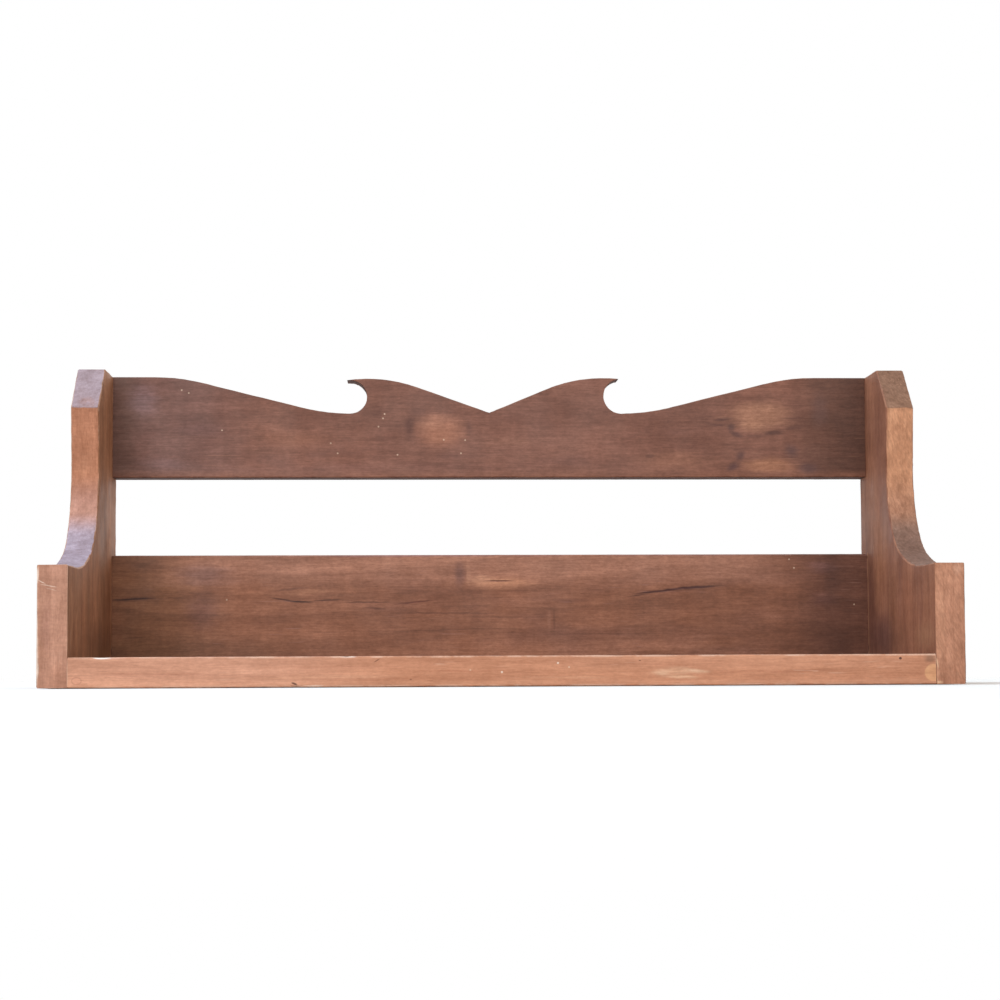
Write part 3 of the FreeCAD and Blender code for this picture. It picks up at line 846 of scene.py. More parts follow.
def bends_by(edge: bmesh.types.BMEdge, angle: float) -> bool:
    """Say if two faces meet at an edge at this angle or more."""
    return len(edge.link_faces) == 2 and edge.calc_face_angle(0.0) >= angle


def joined(pieces: Sequence[Piece], name: str) -> Piece:
    """Join pieces into one.

    Args:
        pieces: The pieces.
        name: Name of the whole.

    Returns:
        The whole.
    """
    leave_alone()
    for piece in pieces:
        piece.select_set(True)
    bpy.context.view_layer.objects.active = pieces[0]
    if len(pieces) > 1:
        bpy.ops.object.join()
    whole = bpy.context.view_layer.objects.active
    whole.name = name
    whole.data.name = name
    return whole


def settle(piece: Piece) -> None:
    """Put a piece's place, turn and scale into its mesh."""
    hold(piece)
    bpy.ops.object.transform_apply(location=True, rotation=True, scale=True)


def fit_out(piece: Piece, material: Material, nodes: Iterable[str]) -> None:
    """Dress a new piece and say which CAD nodes it stands for.

    Args:
        piece: The piece.
        material: Its finish.
        nodes: The CAD nodes.
    """
    leave_alone()
    piece.data.materials.clear()
    piece.data.materials.append(material)
    piece.data.polygons.foreach_set("material_index", [0] * len(piece.data.polygons))
    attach(piece, BODY)
    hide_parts(*nodes)
    LOG.info("%s: %d faces, stands for %s", piece.name, len(piece.data.polygons), ", ".join(nodes))


def dress(node: str, material: Material) -> None:
    """Give a CAD node that stays as it is a better finish.

    Args:
        node: The node.
        material: The finish.
    """
    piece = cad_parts[node]
    piece.data.materials.clear()
    piece.data.materials.append(material)
    LOG.info("%s: CAD node dressed in %s", node, material.name)


def row_centres(node: str, axis: int) -> list[Vector]:
    """Middles of the two pieces in a row that runs along Y or Z.

    Args:
        node: CAD node of the row.
        axis: Axis that the pieces point along.

    Returns:
        One middle for each piece.
    """
    low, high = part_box(node)
    low, high = Vector(low), Vector(high)
    middle = (low + high) / 2
    others = [index for index in range(3) if index != axis]
    run = max(others, key=lambda index: high[index] - low[index])
    rest = next(index for index in others if index != run)
    radius = (high[rest] - low[rest]) / 2
    centres = []
    for end in (low[run] + radius, high[run] - radius):
        centre = middle.copy()
        centre[run] = end
        centres.append(centre)
    return centres


@dataclass(frozen=True)
class Chip:
    """A small loss on an edge, in millimetres: where, how far along, and which way it goes in."""

    at: Triple
    reach: Triple
    push: Triple

    def holds(self, place: Vector) -> bool:
        """Say if a place lies in the chip."""
        gap, reach = place - metres(self.at), metres(self.reach)
        return sum((gap[i] / reach[i]) ** 2 for i in range(3)) < 1.0


@dataclass
class Board:
    """A sawn board whose edges are rounded and worn by hand."""

    node: str
    slot: str
    finish: StainedWood
    cuts: tuple[tuple[int, float], ...]
    chips: tuple[Chip, ...] = ()
    seed: int = 1
    round_over: float = 0.34
    unevenness: float = 0.11
    thickness_axis: int = 1
    chamfer_tilt: tuple[float, float] = (0.3, 0.97)
    low: Vector = field(init=False)
    high: Vector = field(init=False)
    bores: list[tuple[Vector, Vector]] = field(init=False)

    def build(self) -> Piece:
        """Model, wear and dress the board.

        Returns:
            The piece that stands for the CAD board.
        """
        room = metres((1, 1, 1))
        self.bores = [
            (Vector(low) - room, Vector(high) + room)
            for low, high in (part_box(name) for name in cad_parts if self._is_fastener(name))
        ]
        self.low, self.high = (Vector(corner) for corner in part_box(self.node))
        piece = merged_copy(self.node, f"worn_{self.node}")
        piece.data.materials.append(None)
        piece.data.materials.append(None)
        self._round_edges(piece)
        self._note_edges(piece)
        self._cut_up(piece)
        self._wear(piece)
        soften(piece)
        fit_out(piece, self.finish.make(), [self.node])
        return piece

    @staticmethod
    def _is_fastener(name: str) -> bool:
        """Say if a node is a row of screws or plugs, or a keyhole plate."""
        return any(word in name for word in ("screws", "plugs", "keyhole"))

    def _in_a_bore(self, place: Vector) -> bool:
        """Say if a place is at a bore or a recess."""
        return any(all(low[i] < place[i] < high[i] for i in range(3)) for low, high in self.bores)

    def _is_inside(self, place: Vector) -> bool:
        """Say if a place lies off all six sides of the board's box."""
        near = 0.3 * MM
        return all(self.low[i] + near < place[i] < self.high[i] - near for i in range(3))

    def _is_outer(self, edge: bmesh.types.BMEdge) -> bool:
        """Say if an edge is a sharp one on the board's outside, away from the bores."""
        middle = middle_of(edge)
        return bends_by(edge, SHARP_EDGE) and not self._is_inside(middle) and not self._in_a_bore(middle)

    def _round_edges(self, piece: Piece) -> None:
        """Round the board's sharp outer edges.

        Args:
            piece: The board's piece.
        """
        edit(piece, "EDGE", False)
        pick(piece, "EDGE", self._is_outer)
        bpy.ops.mesh.bevel(
            offset=self.round_over * MM, segments=2, affect="EDGES", clamp_overlap=False, material=1
        )
        leave_alone()

    def _note_edges(self, piece: Piece) -> None:
        """Store on the mesh which faces are rounded edges.

        Args:
            piece: The board's piece.
        """
        mesh = piece.data
        layer = mesh.attributes.new("edge", "FLOAT", "CORNER")
        flattest, steepest = self.chamfer_tilt
        for face in mesh.polygons:
            tilt = abs(face.normal[self.thickness_axis])
            is_chamfer = flattest < tilt < steepest and not self._in_a_bore(face.center)
            share = 1.0 if face.material_index == 1 or is_chamfer else 0.0
            for corner in face.loop_indices:
                layer.data[corner].value = share

    def _cut_up(self, piece: Piece) -> None:
        """Cut the board into short lengths, so that its edges can be uneven.

        Args:
            piece: The board's piece.
        """
        edit(piece)
        for axis, step in self.cuts:
            normal = Vector((0, 0, 0))
            normal[axis] = 1.0
            count = int((self.high[axis] - self.low[axis]) / (step * MM))
            for index in range(1, count):
                place = self.low.lerp(self.high, index / count)
                bpy.ops.mesh.select_all(action="SELECT")
                bpy.ops.mesh.bisect(plane_co=place, plane_no=normal)
        leave_alone()

    def _wear(self, piece: Piece) -> None:
        """Make the rounded edges uneven and sink the chips.

        Args:
            piece: The board's piece.
        """
        mesh = edit(piece, "VERT", False)
        layer = mesh.loops.layers.float["edge"]
        pick(piece, "VERT", lambda vertex: self._is_worn(vertex, layer))
        bpy.ops.transform.vertex_random(
            offset=-self.unevenness * MM, uniform=0.0, normal=1.0, seed=self.seed
        )
        for chip in self.chips:
            if pick(piece, "VERT", lambda vertex: chip.holds(vertex.co)):
                bpy.ops.transform.translate(value=metres(chip.push))
        leave_alone()

    def _is_worn(self, vertex: bmesh.types.BMVert, layer: bmesh.types.BMLayerItem) -> bool:
        """Say if a corner of the mesh belongs to the rounded edges.

        Args:
            vertex: The corner.
            layer: Mesh layer that says which faces are rounded edges.

        Returns:
            True where all faces round it are, or some of them and it lies off the board's box.
        """
        rounded = [loop[layer] > 0.5 for loop in vertex.link_loops]
        return all(rounded) or (any(rounded) and not self._on_the_box(vertex.co))

    def _on_the_box(self, place: Vector) -> bool:
        """Say if a place lies on one of the six sides of the board's box.

        Args:
            place: The place, in metres.

        Returns:
            True where it does.
        """
        near = 0.02 * MM
        return any(
            abs(place[i] - self.low[i]) < near or abs(place[i] - self.high[i]) < near for i in range(3)
        )


# ------------------------------------------------------------------ the rack's own parts


def marks_on(face: float, rows: Iterable[MarkRow], depth: float = MARK_DEPTH) -> tuple[Mark, ...]:
    """Marks on a face that looks along Y.

    Args:
        face: Place of the face along Y, in millimetres.
        rows: For each mark its X and Z, its reach along them, its colour, and what follows in Mark.
        depth: Reach of the marks into the board, in millimetres.

    Returns:
        The marks.
    """
    return tuple(Mark((x, face, z), (wide, depth, tall), *rest) for x, z, wide, tall, *rest in rows)


def rail_marks(rows: Iterable[MarkRow], specks: Iterable[tuple[float, float]]) -> tuple[Mark, ...]:
    """Marks on the face of a rail.

    Args:
        rows: The marks, as marks_on takes them.
        specks: X and Z of pale specks.

    Returns:
        The marks and specks.
    """
    dots = [(x, z, SPECK_SIZE, SPECK_SIZE, SPECK, 0.8, 0.5, 0.0, 0.0) for x, z in specks]
    return marks_on(RAIL_FACE, rows) + marks_on(RAIL_FACE, dots, SPECK_DEPTH)


# Stains, streaks, cracks and rubbed places, one in each row: X, Z, reach along X and Z, colour,
# strength, softness, turn and raggedness.

TOP_RAIL_MARKS: tuple[MarkRow, ...] = (
    # clouds at the left end
    (-262, 214, 17, 19, (134, 106, 110), 0.5, 0.9, 0.0, 0.8),
    (-247, 166, 24, 8, (142, 108, 106), 0.5, 0.9, 0.0, 0.8),
    (-218, 192, 26, 12, (106, 74, 70), 0.45, 0.9, 0.0, 0.8),
    (-150, 186, 40, 9, (166, 112, 88), 0.4, 0.9, 0.0, 0.8),
    # pale patch left of the middle, with a dark rim
    (-84, 205, 9, 12, (112, 72, 60), 0.4, 0.9, 0.0, 0.6),
    (-62.0, 195, 5.4, 13, (96, 60, 52), 0.65, 0.9, 0.0, 0.6),
    (-56.0, 206, 10, 5, (104, 68, 58), 0.45, 0.9, 0.0, 0.6),
    (-38.0, 191.5, 25, 16.5, (182, 124, 98), 0.7, 0.75, 0.0, 0.5),
    (-46.0, 197, 12, 8, (190, 134, 108), 0.4, 0.9, 0.0, 0.5),
    (-17.0, 193, 3.0, 9, (110, 72, 62), 0.45, 0.8, 0.0, 0.6),
    # faint clouds along the board
    (-30, 172.5, 22, 4, (116, 76, 66), 0.4, 0.9),
    (60, 168, 36, 6, (124, 84, 74), 0.35, 0.9),
    (142, 168, 44, 11, (166, 114, 90), 0.45, 0.95, 0.0, 0.8),
    (10, 183, 30, 4, (160, 112, 92), 0.35, 0.9),
    (120, 172.5, 4.5, 2.2, (98, 62, 52), 0.6, 0.8),
    # pale patch near the right end, with dark blotches round it
    (204, 203, 33, 15, (170, 120, 94), 0.75, 0.7, 0.0, 0.6),
    (198, 197, 12, 7, (184, 132, 104), 0.5, 0.9, 0.0, 0.6),
    (176.5, 200.4, 10.5, 1.9, (88, 54, 48), 0.7, 0.8, 6.0),
    (171.5, 196.2, 7.5, 1.3, (96, 60, 52), 0.6, 0.8),
    (182.0, 193.6, 4.2, 6.0, (84, 54, 50), 0.7, 0.9),
    (186.0, 189.0, 8.0, 2.8, (84, 52, 48), 0.75, 0.9, -16.0),
    (200.0, 187.4, 14.0, 1.6, (100, 62, 52), 0.5, 0.9),
    (215.0, 190.0, 11.0, 2.6, (82, 50, 42), 0.75, 0.9, 6.0),
    (229.0, 193.4, 10.0, 2.6, (88, 54, 46), 0.6, 0.9, 8.0),
    (230.0, 200.8, 16.0, 1.5, (96, 60, 50), 0.55, 0.9),
    (228.0, 176.0, 9.0, 7.0, (88, 62, 62), 0.6, 0.9, -30.0, 0.8),
    (189.0, 172.6, 6.5, 4.6, (88, 58, 56), 0.75, 0.9, 40.0, 0.8),
    (183.5, 164.0, 8.0, 4.2, (90, 60, 60), 0.75, 0.9, 30.0, 0.8),
    (190.0, 178.0, 11.0, 1.3, (104, 66, 56), 0.5, 0.9),
    # pale patch below it, and the dark right end
    (211.0, 165.0, 27, 8.5, (172, 118, 88), 0.75, 0.8, 0.0, 0.8),
    (241.0, 163.0, 11, 6.5, (84, 56, 54), 0.7, 0.9, 0.0, 0.8),
    (250, 206, 10, 20, (98, 72, 68), 0.4, 0.9, 0.0, 0.8),
)
TOP_RAIL_SPECKS: tuple[tuple[float, float], ...] = (
    (-233.5, 222.2), (-228.2, 220.0), (-203.2, 191.8), (-81.0, 204.2), (-82.2, 200.9), (-85.6, 194.6),
    (-121.6, 182.0), (-116.4, 174.4), (-36.4, 184.6), (-20.2, 184.4), (-23.4, 174.4), (-71.3, 173.3),
)

BOTTOM_RAIL_MARKS: tuple[MarkRow, ...] = (
    # crack at the left end, and the clouds round it
    (-268, 64.9, 28, 2.6, (92, 56, 44), 0.6, 0.9, 2.5, 0.6),
    (-271, 64.8, 23, 1.0, (54, 28, 22), 0.85, 0.7, 2.5, 0.5),
    (-282, 44, 9, 18, (140, 92, 66), 0.5, 0.9),
    (-238, 66.0, 9, 0.6, STREAK, 0.6, 0.7),
    (-268, 36.0, 16, 0.7, STREAK, 0.45, 0.8, 3.0),
    (-215, 83, 30, 13, (134, 100, 98), 0.45, 0.95, 0.0, 1.0),
    (-262, 90, 20, 8, (104, 68, 54), 0.4, 0.9),
    (-218, 56, 18, 22, (126, 88, 84), 0.4, 0.95, 0.0, 0.8),
    # crack left of the middle
    (-158, 64.2, 12, 0.9, STREAK, 0.8, 0.7, -9.0, 0.5),
    (-144, 62.6, 15, 1.1, (60, 32, 26), 0.9, 0.7, -2.0, 0.5),
    (-124, 63.6, 16, 0.8, STREAK, 0.75, 0.8, 3.0, 0.5),
    (-150, 72.0, 18, 1.2, (112, 72, 58), 0.55, 0.9, 6.0),
    (-134, 70.0, 22, 2.4, (184, 130, 100), 0.5, 0.9, 4.0),
    # dark band with cracks at the middle
    (-62, 58.8, 72, 6.4, (122, 78, 63), 0.25, 0.9, 0.0, 0.8),
    (-94, 62.0, 24, 0.9, STREAK, 0.6, 0.7, -1.0, 0.5),
    (-58, 62.2, 20, 1.0, (92, 46, 36), 0.8, 0.7, 4.8, 0.5),
    (-89, 57.3, 12, 1.3, (92, 54, 44), 0.6, 0.8, -4.0, 0.5),
    (-33, 53.6, 56, 0.8, (100, 62, 50), 0.55, 0.8, -0.8, 0.5),
    (-140, 69, 22, 2.6, (168, 116, 88), 0.5, 0.9),
    (56, 62.7, 27, 2.6, (104, 64, 52), 0.55, 0.9),
    # crack on the right
    (141.0, 71.0, 40, 2.6, (104, 62, 50), 0.6, 0.9, 5.4, 0.6),
    (126.0, 69.6, 26, 1.0, (70, 34, 30), 0.85, 0.6, 6.0, 0.4),
    (150.0, 72.2, 26, 1.3, (70, 34, 30), 0.9, 0.5, 4.4, 0.4),
    (110, 66.6, 12, 0.7, STREAK, 0.6, 0.8, 8.0),
    # rubbed place at the middle, and dents beside it
    (6, 75.4, 34, 6.0, (208, 150, 118), 0.75, 0.9, 0.0, 0.6),
    (-8, 78.6, 14, 5.0, (208, 154, 124), 0.6, 0.9, 0.0, 0.6),
    (4, 77.6, 15, 0.9, STREAK, 0.75, 0.7, 0.0, 0.5),
    (-24.5, 83, 6.4, 15, (112, 78, 74), 0.6, 0.9, 0.0, 0.5),
    (-18.0, 84, 2.4, 13, (190, 140, 114), 0.5, 0.8, 0.0, 0.5),
    (42.6, 48, 2.2, 13, (172, 122, 100), 0.45, 0.8, 0.0, 0.5),
    (46.4, 48, 1.6, 13, STREAK, 0.3, 0.8, 0.0, 0.5),
    (41, 89, 9, 3.0, (186, 136, 112), 0.5, 0.8),
    # faint streaks along the board
    (178, 76, 26, 4, (122, 80, 64), 0.4, 0.9, 4.0),
    (10, 50.5, 120, 0.7, (110, 70, 54), 0.4, 0.9),
    (-60, 40.5, 110, 0.7, (112, 72, 56), 0.4, 0.9, 1.0),
    (90, 37.6, 100, 0.7, (110, 70, 54), 0.4, 0.9),
    # dark right end
    (250, 88, 16, 8, (124, 88, 86), 0.45, 0.9),
    (250, 63, 16, 7, (116, 80, 76), 0.4, 0.9),
    (262, 30, 14, 16, (78, 48, 38), 0.3, 0.9),
    (258, 78, 9, 34, (80, 50, 42), 0.45, 0.95, 0.0, 0.5),
    # greyed top edge
    (-60, 97, 150, 1.4, (140, 96, 100), 0.6, 0.9),
    (140, 97, 90, 1.2, (140, 96, 96), 0.5, 0.9),
)
BOTTOM_RAIL_SPECKS: tuple[tuple[float, float], ...] = (
    (-199.4, 64.2), (225.3, 93.6), (229.0, 87.0), (274.6, 59.2),
)

SHELF_MARKS: tuple[MarkRow, ...] = (
    # round spots at both ends
    (283.0, 7.6, 6.2, 6.2, (228, 174, 132), 0.85, 0.2, 0.0, 0.0),
    (283.0, 7.6, 4.4, 4.8, (218, 160, 122), 0.5, 0.8, 0.0, 0.0),
    (281.4, 17.4, 6.0, 4.6, (150, 112, 92), 0.8, 0.9, 0.0, 0.5),
    (-279, 4.6, 3.9, 3.0, (178, 124, 102), 0.6, 0.25, 0.0, 0.0),
    (-279, 4.6, 3.2, 2.3, (212, 156, 130), 0.8, 0.3, 0.0, 0.0),
    # soot, specks and small losses
    (-138, 2.2, 2.6, 0.9, SOOT, 0.8, 0.6, -20.0, 0.5),
    (-126, 0.8, 9.0, 0.8, (240, 220, 204), 0.7, 0.6),
    (261.3, 17.0, 1.0, 0.9, SOOT, 0.9, 0.5),
    (-2.3, 9.2, 0.9, 0.9, (240, 222, 206), 0.9, 0.5, 0.0, 0.0),
    (34.5, 15.0, 0.9, 0.8, (240, 222, 206), 0.9, 0.5, 0.0, 0.0),
    (41.8, 12.3, 0.7, 0.7, SPECK, 0.8, 0.5, 0.0, 0.0),
    (-23, 10.6, 0.8, 0.8, SPECK, 0.6, 0.5, 0.0, 0.0),
    (88.5, 16.4, 1.0, 0.6, SOOT, 0.6, 0.6, 0.0, 0.0),
    (-84, 17.2, 3.0, 0.5, SOOT, 0.6, 0.7, 30.0, 0.5),
    (-62, 4.6, 1.0, 0.6, SOOT, 0.5, 0.7, 0.0, 0.0),
    # rubbed place right of the middle
    (115, 8.4, 22, 5.0, (218, 174, 144), 0.6, 0.9, 0.0, 1.6),
    (104, 9.0, 9, 2.6, (230, 190, 160), 0.6, 0.9, 0.0, 1.6),
    (124, 9.8, 12, 2.0, (232, 192, 162), 0.7, 0.9, -4.0, 1.6),
    (118, 5.6, 15, 1.8, (230, 188, 156), 0.7, 0.9, 0.0, 1.6),
    # streaks along the front edge
    (-230, 9.0, 46, 1.0, (188, 132, 108), 0.6, 0.8, -0.8),
    (-120, 6.5, 60, 1.4, (222, 168, 138), 0.5, 0.8, 0.6),
    (-100, 13.0, 80, 1.1, (188, 132, 106), 0.45, 0.8, 0.5),
    (-30, 10.2, 46, 0.8, (178, 118, 92), 0.55, 0.8),
    (40, 5.4, 50, 1.2, (216, 164, 134), 0.45, 0.8),
    (90, 14.0, 60, 1.2, (178, 122, 96), 0.5, 0.8, -0.6),
    (190, 9.4, 56, 1.1, (182, 124, 98), 0.5, 0.8, 0.6),
    (200, 4.0, 60, 1.0, (184, 128, 102), 0.4, 0.8),
    (-190, 3.2, 40, 0.9, (186, 130, 106), 0.45, 0.8),
)
SHELF_BARE_CHIPS: tuple[MarkRow, ...] = (
    # bare wood where the top edge is chipped
    (-262.0, 19.7, 7.6, 1.3, (252, 244, 238), 1.0, 0.35, 0.0, 0.4),
    (-103.2, 19.8, 6.6, 1.1, (250, 240, 232), 1.0, 0.4, 0.0, 0.4),
)


@dataclass
class Rails:
    """The top rail with its scroll, and the bottom rail."""

    step: float = 7.0
    top_course: float = 19.0
    bottom_course: float = 16.0

    def top_finish(self) -> StainedWood:
        """The top rail's finish.

        Returns:
            The finish, with the marks that the rack shows there.
        """
        return StainedWood(
            "top_rail_stain",
            Grain.RAIL,
            dark=(122, 79, 64),
            light=(147, 98, 80),
            haze=(122, 86, 80),
            worn=(176, 126, 102),
            heart=(150.0, -40.0),
            shift=(0.4, 0.0, 0.1),
            zones=(
                Zone((-360, 90, 100), (-160, 100, 300), (121, 84, 75), 0.85, (75, 1, 20), 4.0),
                Zone((-320, 90, 100), (-258, 100, 300), (100, 70, 59), 0.75, (20, 1, 20), 2.0),
                Zone((214, 90, 100), (360, 100, 300), (101, 65, 51), 0.88, (46, 1, 20), 4.0),
                Zone((252, 90, 100), (340, 100, 300), (88, 56, 44), 0.8, (24, 1, 20), 1.0),
                Zone((-110, 90, 100), (120, 100, 300), (128, 86, 72), 0.55, (50, 1, 20), 4.0),
                Zone((-290, 90, 140), (290, 100, 163), (152, 100, 76), 0.35, (2, 1, 6), 1.0),
                # painted shade: the underside of the top rail darkened
                Zone((-290, 90, 150), (290, 120, 156.6), (84, 54, 43), 0.9, (1, 1, 0.5), 0.1, True),
                # painted shade: the sawn edges inside the scroll and notch darkened
                Zone((-150, 90, 186), (150, 120, 240), (92, 60, 50), 0.8, (4, 1, 4), 0.1, True),
                Zone((-290, WALL - 2, 150), (290, WALL + 2, 240), (150, 108, 84), 0.4, (1, 1, 1)),
            ),
            marks=rail_marks(TOP_RAIL_MARKS, TOP_RAIL_SPECKS),
        )

    def bottom_finish(self) -> StainedWood:
        """The bottom rail's finish.

        Returns:
            The finish, with the marks that the rack shows there.
        """
        return StainedWood(
            "bottom_rail_stain",
            Grain.RAIL,
            dark=(140, 91, 68),
            light=(164, 110, 84),
            haze=(144, 101, 88),
            worn=(172, 128, 116),
            figure=Figure(rings=0.13),
            heart=(-20.0, -110.0),
            ring_width=6.5,
            shift=(1.7, 0.0, 0.0),
            zones=(
                Zone((-380, 90, -60), (-186, 100, 160), (130, 86, 58), 0.85, (74, 1, 20), 5.0),
                Zone((-380, 90, -60), (-130, 100, 44), (110, 82, 62), 0.22, (80, 1, 24), 5.0),
                Zone((-272, 90, 71), (238, 100, 140), (178, 126, 103), 0.8, (64, 1, 14), 4.0),
                Zone((206, 90, -60), (380, 100, 160), (106, 67, 53), 0.93, (58, 1, 20), 4.0),
                Zone((-140, 90, -20), (170, 100, 38), (168, 113, 87), 0.35, (40, 1, 14), 3.0),
                Zone((-290, WALL - 2, 0), (290, WALL + 2, 100), (150, 108, 84), 0.4, (1, 1, 1)),
            ),
            marks=rail_marks(BOTTOM_RAIL_MARKS, BOTTOM_RAIL_SPECKS),
        )

    def build(self) -> None:
        """Model and dress both rails."""
        for node, finish, course, seed in (
            ("top_rail", self.top_finish(), self.top_course, 3),
            ("bottom_rail", self.bottom_finish(), self.bottom_course, 4),
        ):
            Board(node, "rail_board", finish, ((0, self.step), (2, course)), seed=seed).build()


@dataclass
class Shelf:
    """The plate shelf, with its groove and its worn front edge."""

    step: float = 4.0
    course: float = 26.0

    def finish(self) -> StainedWood:
        """The shelf's finish.

        Returns:
            The finish, with the marks that the rack shows there.
        """
        return StainedWood(
            "shelf_stain",
            Grain.SHELF,
            dark=(124, 82, 64),
            light=(152, 105, 82),
            haze=(130, 96, 86),
            worn=(222, 184, 162),
            figure=Figure(
                bands=0.10, fibres=0.06, hairs=0.05, pores=0.12, ripple=0.01, mottle=0.06, fleck=0.05
            ),
            heart=(-30.0, -90.0),
            shift=(2.9, 0.3, 0.0),
            edge_wear=0.62,
            gloss=0.14,
            zones=(
                Zone((-290, -117, -2), (290, -113.2, 22), (200, 142, 112), 0.94, (1, 0.8, 1), 0.2),
                Zone((-400, -117, -9), (-60, -113.2, 29), (208, 155, 130), 0.8, (110, 0.8, 4), 1.0),
                Zone((20, -117, 9), (280, -113.2, 29), (192, 138, 111), 0.4, (40, 0.8, 5), 3.0),
                Zone((-290, -117, -6), (290, -113.2, 5), (214, 160, 131), 0.4, (1, 0.8, 3), 1.5),
                Zone((-286, 41.4, 10), (286, 51.6, 20.5), (92, 58, 46), 0.5, (1, 1, 0.3), 0.2),
                Zone((-310, 74, 15), (310, 120, 25), (96, 62, 50), 0.5, (14, 20, 1), 3.0),
            ),
            marks=marks_on(FRONT, SHELF_MARKS) + marks_on(FRONT, SHELF_BARE_CHIPS, CHIP_DEPTH),
        )

    def build(self) -> None:
        """Model and dress the shelf."""
        Board(
            "shelf",
            "shelf_board",
            self.finish(),
            ((0, self.step), (1, self.course)),
            chips=(
                Chip((-262.0, FRONT, SHELF_TOP), (6.5, 1.3, 1.3), (0.0, 0.35, -0.35)),
                Chip((-103.2, FRONT, SHELF_TOP), (5.5, 1.3, 1.3), (0.0, 0.35, -0.3)),
                Chip((-138.0, FRONT, 0.0), (2.4, 1.3, 1.3), (0.0, 0.5, 0.5)),
                Chip((74.0, FRONT, SHELF_TOP), (3.0, 1.2, 1.2), (0.0, 0.2, -0.25)),
            ),
            seed=5,
            unevenness=0.16,
            thickness_axis=2,
        ).build()


SawnZone = tuple[float, float, float, float, Screen, float, float]


class Hand(Enum):
    """Which side of the rack, as the sign of X."""

    LEFT = -1
    RIGHT = 1

    @property
    def word(self) -> str:
        """The side's name in the CAD nodes."""
        return self.name.lower()


